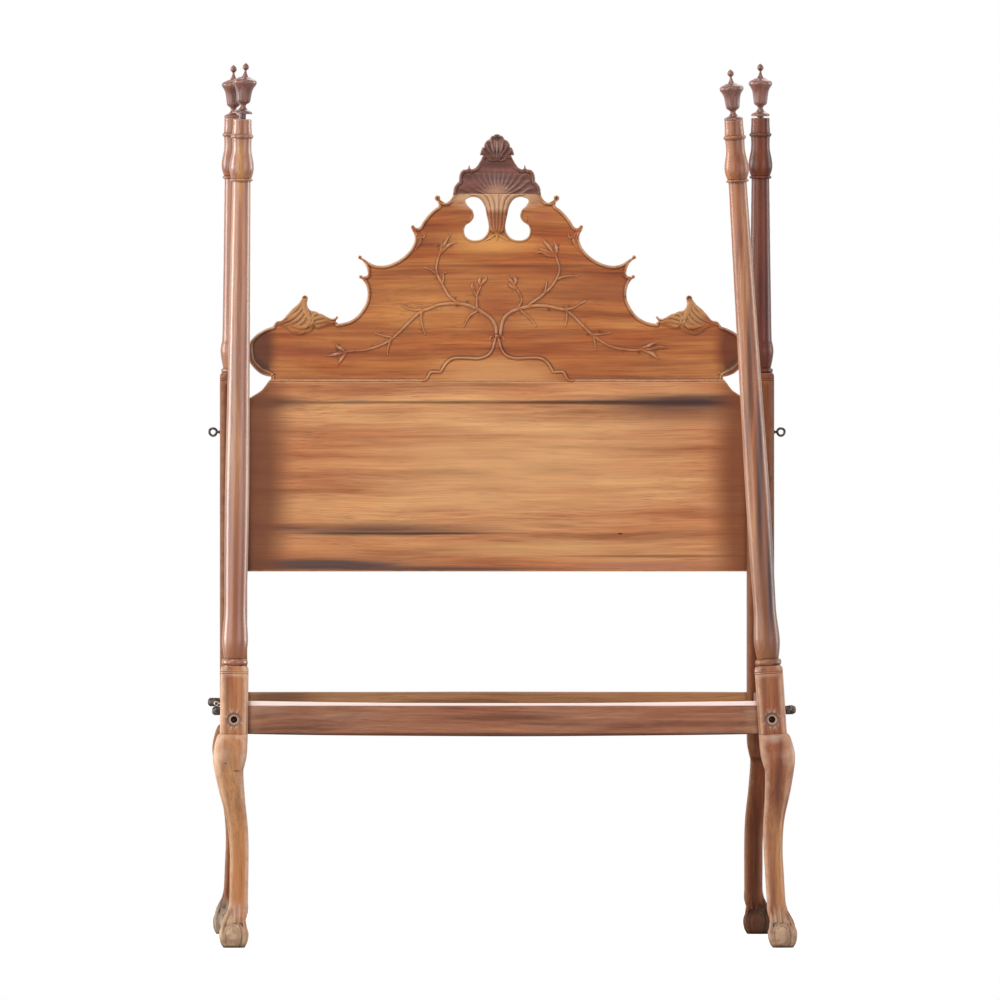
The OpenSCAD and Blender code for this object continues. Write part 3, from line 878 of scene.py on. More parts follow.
@dataclass(frozen=True)
class Standing:
    """Where a post stands, and how far it leans towards the middle.

    Args:
        name: Which post it is.
        side: -1 for the left, 1 for the right.
        end: -1 for the foot end, 1 for the head end.
        lean: Its lean about the side bolt, in degrees.
    """

    name: str
    side: int
    end: int
    lean: float

    def matrix(self) -> Matrix:
        """Give the matrix that stands a post in its place.

        Returns:
            The matrix from the post's drawing in millimetres to the scene in metres.
        """
        foot = (self.side * POST_X * MM, self.end * POST_Y * MM, BOLT_Z * MM)
        return (turned(foot, -self.side * self.lean, "Y") @ Matrix.Translation((0, 0, -BOLT_Z * MM))
            @ Matrix.Diagonal((self.side * MM, self.end * MM, MM, 1.0)))

    def node(self, kind: str) -> str:
        """Give the name of this post's CAD node of some kind, such as foot_leg_left."""
        end, side = self.name.split("_")
        return f"{end}_{kind}_{side}"

    @property
    def block_top(self) -> float:
        """Give the height at which the post's square block ends."""
        return FOOT_BLOCK_TOP if self.end < 0 else HEAD_BLOCK_TOP

    @property
    def post_top(self) -> float:
        """Give the height at which the post's column ends."""
        return FOOT_POST_TOP if self.end < 0 else HEAD_POST_TOP

    @property
    def slot(self) -> str:
        """Give the record's material slot for the post's wood."""
        return "post_wood" if self.end < 0 else "head_post_wood"


FOOT_LEFT = Standing("foot_left", -1, -1, 0.8)
FOOT_RIGHT = Standing("foot_right", 1, -1, 3.66)
HEAD_LEFT = Standing("head_left", -1, 1, 0.0)
HEAD_RIGHT = Standing("head_right", 1, 1, 0.0)
FOOT_PAIR, HEAD_PAIR = (FOOT_LEFT, FOOT_RIGHT), (HEAD_LEFT, HEAD_RIGHT)
POSTS = FOOT_PAIR + HEAD_PAIR


# ---- Legs with claw and ball feet ----

# The S-shaped leg, [offset from the post's centre, height]: outer line, inner line, and the chamfer on its
# outer corner, [length, height]
LEG_OUTER = smooth([(34.4, 504.8), (39, 499), (43, 487), (48, 462), (48, 440), (43, 412), (32, 365),
    (14, 300), (6, 235), (5, 170), (5, 100), (9, 80), (15, 64), (16, 46)], 6)
LEG_INNER = smooth([(-33, 504.8), (-32, 460), (-27, 432), (-24, 415), (-29, 350), (-36, 290), (-39, 230),
    (-39, 110), (-38.6, 88), (-36, 78), (-30.5, 66), (-30, 46)], 6)
OUTER_CHAMFER = [(7, 505), (12, 480), (15, 450), (12, 420), (9, 370), (6, 300), (4.5, 230), (3.5, 90)]
# How far the left head leg stands out at the floor
STRAY = 24.0


def leg_section(z: float) -> list[Point]:
    """Give the leg's section, a square from the inner to the outer line with eased corners.

    Args:
        z: The height.

    Returns:
        The section's points.
    """
    outer, inner = at(LEG_OUTER, z), at(LEG_INNER, z)
    return eased_square([(outer, outer, at(OUTER_CHAMFER, z), 0.35), (inner, outer, 8.0, 0.9),
        (inner, inner, 9.0, 0.9), (outer, inner, 8.0, 0.9)])


def eased_square(corners: Sequence[tuple[float, float, float, float]]) -> list[Point]:
    """Give the points round a square whose corners are cut and rounded.

    Args:
        corners: x, y, length of the cut and roundness of each corner, anticlockwise from the outer one.

    Returns:
        36 points, anticlockwise, from the middle of the side before the first corner.
    """
    arcs = []
    for i, (x, y, cut, roundness) in enumerate(corners):
        before, after = corners[i - 1], corners[(i + 1) % 4]
        start = Vector((x, y)) + (Vector(before[:2]) - Vector((x, y))).normalized() * cut
        finish = Vector((x, y)) + (Vector(after[:2]) - Vector((x, y))).normalized() * cut
        pull = (start + finish) / 2 * (1 - roundness) + Vector((x, y)) * roundness
        arcs.append([start * (1 - t) ** 2 + pull * 2 * t * (1 - t) + finish * t * t
            for t in (0, .25, .5, .75, 1)])
    points: list[Point] = []
    for i, arc in enumerate(arcs):
        following = arcs[(i + 1) % 4][0]
        points += [tuple(p) for p in arc]
        points += [tuple(arc[-1].lerp(following, t)) for t in (0.2, 0.4, 0.6, 0.8)]
    # a cylinder's first vertex lies on +X, so the ring starts on the side that faces +X
    return points[-2:] + points[:-2]


@dataclass
class ClawFoot:
    """A ball held by four toes, carved in one with the leg's ankle.

    Each toe runs down one corner of the ankle, over a knuckle and round the ball to its claw. On the outer
    side it sweeps out from the leg, on the inner side it comes in to a narrow neck first.

    Args:
        centre: Offset of the ball towards the middle of the bed.
        voxel: Size of the cells that the pieces are melted together with.
        ball: [half width, height] of the ball, from its sole to its crown.
        squareness: How square the ball is between its toes, 2 being round.
        outer_toe: [offset from the post's centre, height, radius] of a toe's outer line.
        inner_toe: The same for its inner line.
    """

    centre: float = -7.0
    voxel: float = 1.3
    ball: tuple[Point, ...] = ((0, -6), (20, -6), (24.5, 0), (28.5, 5), (32, 12), (34.4, 22), (35.2, 32),
        (34, 41), (30.8, 48.5), (25.4, 54.5), (17, 59), (0, 61.5))
    squareness: float = 2.5
    outer_toe: tuple[Triple, ...] = ((-3.0, 112, 3.6), (-0.8, 97, 3.9), (6.4, 84, 4.2), (12.4, 71, 4.4),
        (18.0, 58.5, 4.8), (20.2, 48, 4.2), (20.8, 37, 3.6), (20.0, 26, 4.2), (17.6, 15, 3.8), (13.4, 5, 3.0),
        (10, -6, 2.4))
    inner_toe: tuple[Triple, ...] = ((-32.5, 112, 3.6), (-33.2, 97, 3.9), (-32.2, 84, 4.2), (-28.8, 71, 4.4),
        (-31.4, 58.5, 4.8), (-34.0, 48, 4.2), (-34.8, 37, 3.6), (-34.0, 26, 4.2), (-31.6, 15, 3.8),
        (-27.4, 5, 3.0), (-24, -6, 2.4))

    def build(self) -> Piece:
        """Melt ball, toes, sinews and ankle together, and press the hollows into them.

        Returns:
            The foot, in millimetres.
        """
        ball = turn("ball", self.ball, steps=64)
        for v in ball.data.vertices:
            x, y = v.co.x, v.co.y
            size = (abs(x) ** self.squareness + abs(y) ** self.squareness) ** (1 / self.squareness)
            grow = hypot(x, y) / size if size > 1e-6 else 1.0
            v.co = (x * grow + self.centre, y * grow + self.centre, v.co.z)
        parts = [ball, loft("ankle", 36, [50, 57, 64, 70, 76, 82, 88, 96, 104], self._ankle_section)]
        for i, along in enumerate((self.outer_toe, self.inner_toe)):
            for j, across in enumerate((self.outer_toe, self.inner_toe)):
                path = [(x, y, z) for (x, z, _), (y, _, _) in zip(along, across)]
                parts.append(tube(f"toe_{i}{j}", path, [r for _, _, r in along]))
        parts += self._sinews()
        foot = join(parts, "claw_foot")
        modify(foot, "REMESH", mode="VOXEL", voxel_size=self.voxel, use_smooth_shade=True)
        modify(foot, "SMOOTH", factor=0.5, iterations=2)
        self._press(foot)
        return foot

    @staticmethod
    def _ankle_section(z: float) -> list[Point]:
        """Give the ankle's section, a little inside the leg's."""
        return [((x + 16.5) * 0.97 - 16.5, (y + 16.5) * 0.97 - 16.5) for x, y in leg_section(z)]

    def _sinews(self) -> list[Piece]:
        """Run two sinews down each face of the ankle, on to the ball's crown.

        Returns:
            The sinews.
        """
        pieces = []
        for place_at in (-9.0, -21.0):
            for outward in (True, False):
                face = LEG_OUTER if outward else LEG_INNER
                sink = -1.6 if outward else 1.6
                rows = [(at(face, z) + sink + (2.2 if outward else -2.2) * max(0.0, (70 - z) / 14), z, r)
                    for z, r in ((112, 1.5), (100, 2.8), (88, 3.6), (76, 4.2), (66, 5.0), (58, 4.6))]
                for swapped in (False, True):
                    path = [(place_at, y, z) if not swapped else (y, place_at, z) for y, z, _ in rows]
                    pieces.append(tube("sinew", path, [r for _, _, r in rows]))
        return pieces

    def _press(self, foot: Piece) -> None:
        """Press a shallow arch into the crown on each of the ball's four sides, and a groove beside each toe.

        Args:
            foot: The foot.
        """
        centre = Vector((self.centre, self.centre, 30.0))
        for v in foot.data.vertices:
            out = v.co - centre
            for axis in (Vector((1, 0, 0)), Vector((0, 1, 0)), Vector((-1, 0, 0)), Vector((0, -1, 0))):
                if out.normalized().dot(axis) < 0.66 or not 43 < v.co.z < 60:
                    continue
                across = abs(out.dot(Vector((0, 0, 1)).cross(axis)))
                arch = hypot(across, v.co.z - 42)
                v.co -= axis * 2.2 * exp(-((arch - 10.5) / 2.0) ** 2)
            if v.co.z < 60:
                x, y = abs(out.x), abs(out.y)
                side = abs(x - y) / sqrt(2)
                if min(x, y) > 8:
                    v.co -= Vector((out.x, out.y, 0)).normalized() * 2.6 * exp(-((side - 7.4) / 2.4) ** 2)
        foot.data.update()


@dataclass
class Legs:
    """The four legs, each with its square block and its claw and ball foot, in one piece of wood.

    Args:
        chamfer: Chamfer on the blocks' corners.
        rounding: How far down the blocks' rounded tops reach.
        scribed: Distances of the two scribed lines from the blocks' tops.
        saw_z: Height at which the feet are sawn off, in metres.
    """

    chamfer: float = 6.0
    rounding: float = 9.0
    scribed: tuple[float, float] = (17.5, 13.0)
    saw_z: float = 0.0002

    def build(self, finishes: Finishes) -> None:
        """Build one leg for each end and set a copy in each of its places.

        Args:
            finishes: The bed's finishes.
        """
        claw = ClawFoot().build()
        for pair in (FOOT_PAIR, HEAD_PAIR):
            pattern = self._leg(claw, pair[0].block_top)
            for standing in pair:
                leg = copy_of(pattern, f"carved_leg_{standing.name}")
                if standing is HEAD_LEFT:
                    for v in leg.data.vertices:
                        v.co.x += STRAY * max(0.0, 1 - v.co.z / BLOCK_BOTTOM)
                place(leg, standing.matrix())
                self._stand(leg)
                hand_over(leg, finishes[f"leg_{standing.name}"], standing.slot, standing.node("leg"),
                    relief_full_mm=0.65)
            bpy.data.objects.remove(pattern)
        bpy.data.objects.remove(claw)

    def _block_section(self, z: float, top: float) -> list[Point]:
        """Give the block's section, drawn in towards its rounded top.

        Args:
            z: The height.
            top: Where the block ends.

        Returns:
            The section's points.
        """
        drop = top - z
        near_top = max(0.0, 1 - drop / self.rounding)
        half = HALF_W - 3.2 * near_top ** 2
        if any(abs(drop - line) < 0.4 for line in self.scribed):
            half -= 0.9
        cut = self.chamfer + 3.0 * near_top
        return eased_square([(half * x, half * y, cut, 0.2) for x, y in ((1, 1), (-1, 1), (-1, -1), (1, -1))])

    def _leg(self, claw: Piece, top: float) -> Piece:
        """Shape a leg and its block, add the foot, and cut the side bolt's dished socket.

        Args:
            claw: The foot.
            top: Where the block ends.

        Returns:
            The leg, in millimetres.
        """
        knee = [46 + 6.5 * i for i in range(69)] + [493, 498, 502, 504.2, 504.8]
        lines = [v for line in self.scribed for v in (top - line - 1, top - line, top - line + 1)]
        low = BLOCK_BOTTOM + 1.2
        block = [BLOCK_BOTTOM + 0.2, low] + [low + (top - 30 - low) * i / 6 for i in range(1, 7)]
        block += lines + [top - drop for drop in (self.rounding, 6.5, 4.2, 2.4, 1, 0)]
        leg = loft("leg", 36, knee + block,
            lambda z: leg_section(z) if z < BLOCK_BOTTOM else self._block_section(z, top))
        combine(leg, copy_of(claw, "claw"), "UNION")
        combine(leg, self._socket(), "DIFFERENCE")
        return leg

    @staticmethod
    def _socket() -> Piece:
        """Make the cutter for the round socket and its dished ring, on the face away from the bed.

        Returns:
            The cutter.
        """
        cutter = turn("socket", [(0, -30), (8, -30), (8, -2.6), (9.5, -1.8), (13.5, -1.7), (16.2, -0.9),
            (17.2, 0.2), (17.2, 6), (0, 6)], steps=48)
        place(cutter, turned((0, HALF_W, BOLT_Z), -90, "X"))
        return cutter

    def _stand(self, leg: Piece) -> None:
        """Saw the foot flat on the floor.

        Args:
            leg: The leg, at its place.
        """
        edit(leg)
        bpy.ops.mesh.bisect(plane_co=(0, 0, self.saw_z), plane_no=(0, 0, 1), clear_inner=True, use_fill=True)
        close_edit(merge=1e-6)
        smooth_shading(leg, 38)


# ---- Turned columns and finials ----


@dataclass
class Columns:
    """The four turned columns, one above each block.

    Args:
        shaft_r: Radius of the shaft at its fullest.
        top_r: Radius of the shaft under the cap rings.
        crack_length: Length of the open crack in the left foot column's cap.
    """

    shaft_r: float = 28.5
    top_r: float = 21.5
    crack_length: float = 142.0

    def build(self, finishes: Finishes) -> None:
        """Turn each column and set it on its block.

        Args:
            finishes: The bed's finishes.
        """
        for standing in POSTS:
            low, high = standing.block_top, standing.post_top
            base = self._foot_base(low) if standing.end < 0 else self._head_base(low)
            shaft = self._shaft(base[-1], high)
            column = turn(f"turned_column_{standing.name}",
                [(0, low - 12), (15, low - 12), (15, low - 0.2)] + base + shaft + self._cap(high))
            if standing is FOOT_LEFT:
                combine(column, self._crack(high), "DIFFERENCE")
            place(column, standing.matrix())
            smooth_shading(column, 40)
            hand_over(column, finishes[f"column_{standing.name}"], standing.slot, standing.node("column"))

    def _foot_base(self, z: float) -> Line:
        """Give the outline of a foot column's lower end: a ring, a swelling and the start of the shaft.

        Args:
            z: The height of the block's top.

        Returns:
            [radius, height] points.
        """
        r = self.shaft_r
        return ([(r - 4, z), (r - 1.5, z)] + bead(z + 9, 15, r - 1.5, r + 2.4) + [(r - 3.6, z + 17.5)]
            + smooth([(r - 3, z + 19), (r + 0.5, z + 40), (r + 2.2, z + 63), (r + 0.5, z + 92),
            (r - 2, z + 133), (r - 1, z + 225), (r, z + 340), (r, z + 440), (r - 2, z + 628)]))

    def _head_base(self, z: float) -> Line:
        """Give the outline of a head column's lower end.

        Args:
            z: The height of the block's top.

        Returns:
            [radius, height] points.
        """
        r = self.shaft_r
        return ([(r - 4, z), (r - 1, z)] + bead(z + 6, 10, r - 1, r + 1.8) + [(r - 3.4, z + 12.5)]
            + smooth([(r - 3, z + 14), (r + 1, z + 34), (r + 3.2, z + 54), (r + 1, z + 70), (r - 1.5, z + 88),
            (r - 3, z + 180), (r - 4.5, z + 272)]))

    def _shaft(self, start: Point, top: float) -> Line:
        """Give the long shaft, very slightly uneven as an old hand-turned one is.

        Args:
            start: Where it starts, [radius, height].
            top: Upper end of the column.

        Returns:
            The shaft's points between its two ends.
        """
        (r0, z0), (r1, z1) = start, (self.top_r, top - 153)
        steps = 16
        return [(r0 + (r1 - r0) * k / steps + 0.15 * sin(k * 2.4), z0 + (z1 - z0) * k / steps)
            for k in range(1, steps)]

    def _cap(self, z: float) -> Line:
        """Give the cap's outline: a thin ring, a swelling, a second ring, a collar and the dowel's socket.

        Args:
            z: The height of the column's top.

        Returns:
            [radius, height] points.
        """
        r = self.top_r
        return ([(r, z - 152), (r, z - 147)] + bead(z - 143, 7.5, r + 0.5, 26.8) + [(r + 2.2, z - 138.5)]
            + smooth([(r + 3, z - 136), (27.4, z - 127), (28.8, z - 117), (28.4, z - 106), (26.0, z - 92),
            (23.2, z - 78), (22.3, z - 64), (22.7, z - 50)]) + bead(z - 40.5, 9.5, r + 1.4, 26.8)
            + [(r + 1.6, z - 33)] + smooth([(r + 1.6, z - 30), (r + 0.6, z - 16), (r + 0.6, z - 1.2)])
            + [(r + 0.2, z - 0.4), (r - 0.8, z), (9.2, z), (9.0, z - 1.2), (9.0, z - 30), (0, z - 30)])

    def _crack(self, top: float) -> Piece:
        """Make the cutter for the crack, a thin wedge that follows the grain.

        Args:
            top: Upper end of the column.

        Returns:
            The cutter.
        """
        cutter = cube((0, 0, 0.5))
        for v in divide(cutter, 2, 9).verts:
            t = v.co.z
            width = 1.5 * (0.35 + 0.65 * t) * (0.25 if v.co.y < 0 else 1.0)
            wander = 1.1 * sin(t * 5.0) - 5.4
            v.co = (-wander + v.co.x * width, 14 if v.co.y < 0 else 40, top - self.crack_length * (1 - t) + 1)
        bmesh.update_edit_mesh(cutter.data)
        close_edit()
        return cutter


@dataclass
class Finials:
    """The four lift-out urn finials, each with the dowel under it.

    Args:
        urn_r: Largest radius of the urn.
        dowel_r: Radius of the dowel.
        dowel_length: Length of the dowel.
        foot_height: Height of the foot posts' finials.
        head_height: Height of the head posts' finials.
        seats: How each is tilted, in degrees, and how far it stands proud of its seat, in the order of POSTS.
    """

    urn_r: float = 28.5
    dowel_r: float = 8.5
    dowel_length: float = 36.0
    foot_height: float = 120.0
    head_height: float = 127.0
    seats: tuple[Point, ...] = ((3.0, 13.0), (0.0, 0.4), (0.0, 0.4), (0.0, 4.0))

    def build(self, finishes: Finishes) -> None:
        """Turn each finial and set it in its socket.

        Args:
            finishes: The bed's finishes.
        """
        for standing, (tilt, proud) in zip(POSTS, self.seats):
            height = self.foot_height if standing.end < 0 else self.head_height
            finial = turn(f"turned_finial_{standing.name}", self._outline(height), steps=64)
            seat = turned((0, 0, standing.post_top), -tilt, "Y") @ Matrix.Translation((0, 0, proud))
            place(finial, standing.matrix() @ seat)
            smooth_shading(finial, 40)
            node = f"finial_{standing.name}"
            hand_over(finial, finishes["finial"], "finial_wood", node, body=node)

    def _outline(self, height: float) -> Line:
        """Give the outline from the dowel's end to the bud's tip.

        Args:
            height: The finial's height over its seat.

        Returns:
            [radius, height] points.
        """
        r = self.urn_r
        k = height / self.head_height
        dowel = [(0, -self.dowel_length), (self.dowel_r - 1.5, -self.dowel_length),
            (self.dowel_r, -self.dowel_length + 2), (self.dowel_r, 0)]
        disc = [(21.2, 0), (22.2, 0.6)] + smooth([(22.7, 2.5), (22.0, 4.6), (18.5, 7.6), (12.5, 10.2)], 3)
        neck = [(10.6, 10.8), (10.2, 12.6)] + smooth([(7.9, 15), (6.5, 19.5), (7.4, 23.6)], 4)
        urn = [(9.2, 24.4), (9.6, 25.6)] + smooth(
            [(12, 26.6), (15.6, 31), (16.8, 38), (18.2, 50), (20.2, 61), (23.8, 69), (27.2, 74), (r, 78.5),
            (27.6, 82.6), (23.5, 86.2), (17.5, 89.0)], 4)
        lid = [(15.6, 89.6), (15.0, 90.8), (10, 91.6)]
        spire = smooth([(8.6, 92.4), (5.8, 96.5), (3.9, 101.5), (2.8, 107), (2.9, 109.2)], 4)
        bud = smooth([(4.6, 110.6), (7.2, 113.6), (7.8, 117.2), (6.2, 121.6), (3.2, 125), (1.2, 126.6)], 4)
        above = disc + neck + urn + lid + spire + bud + [(0, 127)]
        return dowel + [(radius, z * k) for radius, z in above]


# ---- Rails, ledgers and slats ----


@dataclass(frozen=True)
class Plank:
    """One sawn and planed board of the frame under the bed.

    Args:
        name: Its name.
        low: Its lowest corner, in millimetres.
        high: Its highest corner.
        along: The axis that it runs along, 0 or 1.
        sag: How far its middle hangs down.
        eased: Radius that use has rounded its edges to.
        wobble: How uneven its edges are.
    """

    name: str
    low: Triple
    high: Triple
    along: int
    sag: float = 0.0
    eased: float = 3.0
    wobble: float = 0.4

    def build(self) -> Piece:
        """Size a block, divide it along its length, ease its edges and let it sag.

        Returns:
            The board, at its place.
        """
        middle = Vector([(a + b) / 2 for a, b in zip(self.low, self.high)])
        size = [b - a for a, b in zip(self.low, self.high)]
        obj = cube([(a + b) / 2 for a, b in zip(self.low, self.high)], size, self.name)
        divide(obj, self.along, max(3, int(size[self.along] / 45)))
        close_edit()
        ease(obj, self.eased, 3)
        for v in obj.data.vertices:
            s = v.co[self.along]
            t = (s - self.low[self.along]) / size[self.along]
            side = 1 if v.co.z > middle.z else -1
            v.co.z -= self.sag * 4 * t * (1 - t)
            v.co.z += self.wobble * sin(s * 0.013 + side * 2.0 + middle.x * 0.01)
            v.co[1 - self.along] += self.wobble * 0.6 * sin(s * 0.021 + side + middle.y * 0.01)
        place(obj, Matrix.Diagonal((MM, MM, MM, 1)))
        smooth_shading(obj, 40)
        return obj


@dataclass
class Frame:
    """The rails bolted between the posts, and the ledgers and slats that carry the mattress.

    Args:
        rail_bottom: Height of the rails' lower edge.
        rail_h: Height of the rails.
        rail_t: Thickness of the rails.
        ledger_half: Half the length of a ledger.
        ledger_w: Width and height of a ledger.
        slat_count: Number of slats.
        slat_half: Half the width of a slat.
        slat_inset: Distance of the first slat's middle from the posts' middles.
        pocket: Length, depth and height of a nut pocket.
        pocket_x: Distance of the nut pockets from the middle of the bed.
    """

    rail_bottom: float = BLOCK_BOTTOM
    rail_h: float = 78.0
    rail_t: float = 34.0
    ledger_half: float = 833.5
    ledger_w: float = 25.0
    slat_count: int = 11
    slat_half: float = 37.0
    slat_inset: float = 110.0
    pocket: Triple = (8.6, 34.0, 20.6)
    pocket_x: float = 553.0

    def build(self, finishes: Finishes) -> None:
        """Build the four rails, the two ledgers and the slats.

        Args:
            finishes: The bed's finishes.
        """
        half = self.rail_t / 2
        low, high = self.rail_bottom, self.rail_bottom + self.rail_h
        inner = POST_X - HALF_W + TENON
        # the foot rail has sagged, and the head rail stands up a little in its middle
        for name, y, sag in (("foot", -POST_Y, 5.5), ("head", POST_Y, -1.0)):
            rail = Plank(f"planed_rail_{name}", (-inner, y - half, low), (inner, y + half, high), 0, sag, 3.5,
                0.2)
            piece = rail.build()
            self._bore(piece, y)
            hand_over(piece, finishes[f"{name}_rail"], "rail_wood", f"{name}_rail", relief_full_mm=9.0)
        run = POST_Y - HALF_W + TENON
        for side, name in ((-1, "left"), (1, "right")):
            x = side * POST_X
            rail = Plank(f"planed_rail_{name}", (x - half, -run, low), (x + half, run, high), 1, 2.0, 3.5,
                0.2).build()
            hand_over(rail, finishes["side_rail"], "rail_wood", f"side_rail_{name}", relief_full_mm=9.0)
            near, far = sorted((x - side * half, x - side * (half + self.ledger_w)))
            ledger = Plank(f"sawn_ledger_{name}", (near, -self.ledger_half, low + 0.4),
                (far, self.ledger_half, low + self.ledger_w), 1, 2.0, 1.5, 0.3).build()
            hand_over(ledger, finishes["slat"], "pale_wood", f"ledger_{name}", relief_full_mm=9.0)
        self._slats(finishes["slat"])

    def _bore(self, rail: Piece, y: float) -> None:
        """Chop the nut pockets into an end rail's side that faces the head.

        Args:
            rail: The rail, at its place.
            y: Its middle.
        """
        for side in (-1, 1):
            centre = (side * self.pocket_x * MM, (y + self.rail_t / 2 - 10) * MM, CROSS_Z * MM)
            combine(rail, cube(centre, [length * MM for length in self.pocket]), "DIFFERENCE")
        smooth_shading(rail, 40)

    def _slats(self, material: bpy.types.Material) -> None:
        """Lay the slats across the ledgers, each a little out of true.

        Args:
            material: Their finish.
        """
        run = 2 * (POST_Y - self.slat_inset)
        half = POST_X - self.rail_t / 2 - 1.5
        slats = []
        low, high = self.rail_bottom + 25.3, self.rail_bottom + 43.0
        for i in range(self.slat_count):
            y = -run / 2 + run * i / (self.slat_count - 1)
            off = 1.6 * sin(i * 2.7)
            slats.append(Plank(f"slat_{i}", (-half, y - self.slat_half + off, low),
                (half, y + self.slat_half + off, high), 0, 1.2, 2.2, 0.5).build())
        hand_over(join(slats, "sawn_slats"), material, "pale_wood", "slats", relief_full_mm=9.0)


# ---- Ironwork ----


@dataclass
class Ironwork:
    """The bolts that hold the rails, with their knobs and nuts, and the driven eyes.

    Args:
        knob_r: Radius of the cross bolts' knobs.
        knob_reach: How far each knob stands out, in the order of POSTS. The old bolts don't stand out alike.
        nut_in: Distance of the nuts from the posts' middles.
        eye_z: Height of the eyes on the head posts.
        screw_eye_rise: Height of the small eye over the left foot post's side bolt.
    """

    knob_r: float = 10.7
    knob_reach: tuple[float, ...] = (19.0, 25.0, 29.0, 23.0)
    nut_in: float = 86.5
    eye_z: float = 1210.0
    screw_eye_rise: float = 37.0

    def build(self, finishes: Finishes) -> None:
        """Forge the knobs, the socket heads, the nuts and the eyes.

        Args:
            finishes: The bed's finishes.
        """
        iron = finishes["iron"]
        for end, pair in (("foot", FOOT_PAIR), ("head", HEAD_PAIR)):
            bolts = [self._knob(standing) for standing in pair]
            hand_over(join(bolts, f"forged_cross_bolts_{end}"), iron, "iron", f"cross_bolts_{end}")
        nuts = [self._nut(standing, (-self.nut_in, 0, CROSS_Z), 0) for standing in POSTS]
        hand_over(join(nuts, "forged_cross_nuts"), iron, "iron", "cross_nuts")
        # the side rails stand upright beside the leaning posts
        upright = [Standing(s.name, s.side, s.end, 0.0) for s in POSTS]
        bolts = [self._side_bolt(standing) for standing in upright]
        hand_over(join(bolts, "forged_side_bolts"), iron, "iron", "side_bolts")
        nuts = [self._nut(standing, (0, -self.nut_in, BOLT_Z), 1) for standing in upright]
        hand_over(join(nuts, "forged_side_nuts"), iron, "iron", "side_nuts")
        for standing in HEAD_PAIR:
            name = standing.name.replace("head", "forged_eye")
            hand_over(self._eye(name, standing, self.eye_z, 16.5, 8.8, 2.9, 3.0), iron, "iron",
                standing.node("eye"))
        small = self._eye("worn_screw_eye", FOOT_LEFT, BOLT_Z + self.screw_eye_rise, 9.0, 4.5, 1.5, 1.4)
        hand_over(small, finishes["worn_iron"], "worn_iron", "foot_screw_eye")

    def _knob(self, standing: Standing) -> Piece:
        """Forge one bolt with its round knob, faceted by the file and tapered at its end.

        Args:
            standing: The post that it goes through.

        Returns:
            The bolt, at its place.
        """
        r = self.knob_r
        start, end = HALF_W - 0.5, HALF_W + self.knob_reach[POSTS.index(standing)]
        knob = turn(f"knob_{standing.name}",
            [(0, -50), (5, -50), (5, start), (r * 0.8, start), (r * 0.93, start + 2), (r, start + 5),
            (r, end - 9), (r * 0.95, end - 6), (r * 0.82, end - 3), (r * 0.6, end - 1), (r * 0.3, end),
            (0, end)], steps=16)
        for v in knob.data.vertices:
            if v.co.z > start:
                v.co.x *= 1 + 0.035 * sin(v.co.z * 1.3 + standing.side)
                v.co.y *= 1 + 0.03 * sin(v.co.z * 0.9 + 2)
        ease(knob, 0.35, degrees=15)
        place(knob, standing.matrix() @ turned((0, 0, CROSS_Z), 90, "Y"))
        smooth_shading(knob, 28)
        return knob

    def _nut(self, standing: Standing, centre: Triple, axis: int) -> Piece:
        """Forge one square nut.

        Args:
            standing: The post that its bolt goes through.
            centre: Its middle in the post's drawing.
            axis: The axis that its bolt runs along, 0 or 1.

        Returns:
            The nut, at its place.
        """
        nut = cube(centre, (8, 20, 20) if axis == 0 else (20, 8, 20))
        ease(nut, 1.4)
        place(nut, standing.matrix())
        smooth_shading(nut, 30)
        return nut

    def _side_bolt(self, standing: Standing) -> Piece:
        """Forge one side bolt, with the square head that sits in the post's socket.

        Args:
            standing: The post that it goes through.

        Returns:
            The bolt, at its place.
        """
        bolt = turn(f"bolt_{standing.name}", [(0, 0), (5, 0), (5, 104), (0, 104)], steps=16)
        place(bolt, turned((0, -96, BOLT_Z), -90, "X"))
        head = cube((0, HALF_W - 22.5, BOLT_Z), (10.5, 7, 10.5))
        ease(head, 1.2)
        bolt = join([bolt, head], bolt.name)
        place(bolt, standing.matrix())
        smooth_shading(bolt, 30)
        return bolt

    def _eye(self, name: str, standing: Standing, z: float, reach: float, ring_r: float, wire: float,
            stem: float) -> Piece:
        """Bend a rod round into an eye on its driven stem.

        Args:
            name: The piece's name.
            standing: The post that it is driven into.
            z: Its height.
            reach: Distance of the ring's centre from the post's face.
            ring_r: Radius of the ring's middle line.
            wire: Radius of the rod in the ring.
            stem: Radius of the stem.

        Returns:
            The eye, at its place.
        """
        deselect_all()
        bpy.ops.mesh.primitive_torus_add(major_radius=ring_r, minor_radius=wire, major_segments=40,
            minor_segments=14)
        ring = bpy.context.object
        for v in ring.data.vertices:
            v.co.z *= 0.92
            v.co.xy *= 1 + 0.02 * sin(3 * atan2(v.co.y, v.co.x))
        place(ring, turned((HALF_W + reach, 0, z), 90, "X"))
        rod = turn(name + "_stem", [(0, -18), (stem * 0.8, -18), (stem, 0), (stem * 1.5, 0.4),
            (stem * 1.45, 1.6), (stem, 2.6), (stem * 1.05, reach - ring_r), (0, reach - ring_r + 0.5)],
            steps=16)
        place(rod, turned((HALF_W, 0, z), 90, "Y"))
        eye = join([ring, rod], name)
        place(eye, standing.matrix())
        smooth_shading(eye, 40)
        return eye


# ---- Headboard ----


def curl(x: float, z: float, r: float, start: float, end: float) -> Line:
    """Give the arc round a small carved curl's end, counterclockwise.

    Args:
        x: Its middle.
        z: Its middle's height.
        r: Its radius.
        start: First angle, in degrees.
        end: Last angle, in degrees.

    Returns:
        The arc's points.
    """
    count = max(3, int((end - start) / 22))
    angles = [radians(start + (end - start) * i / count) for i in range(count + 1)]
    return [(x + r * cos(a), z + r * sin(a)) for a in angles]


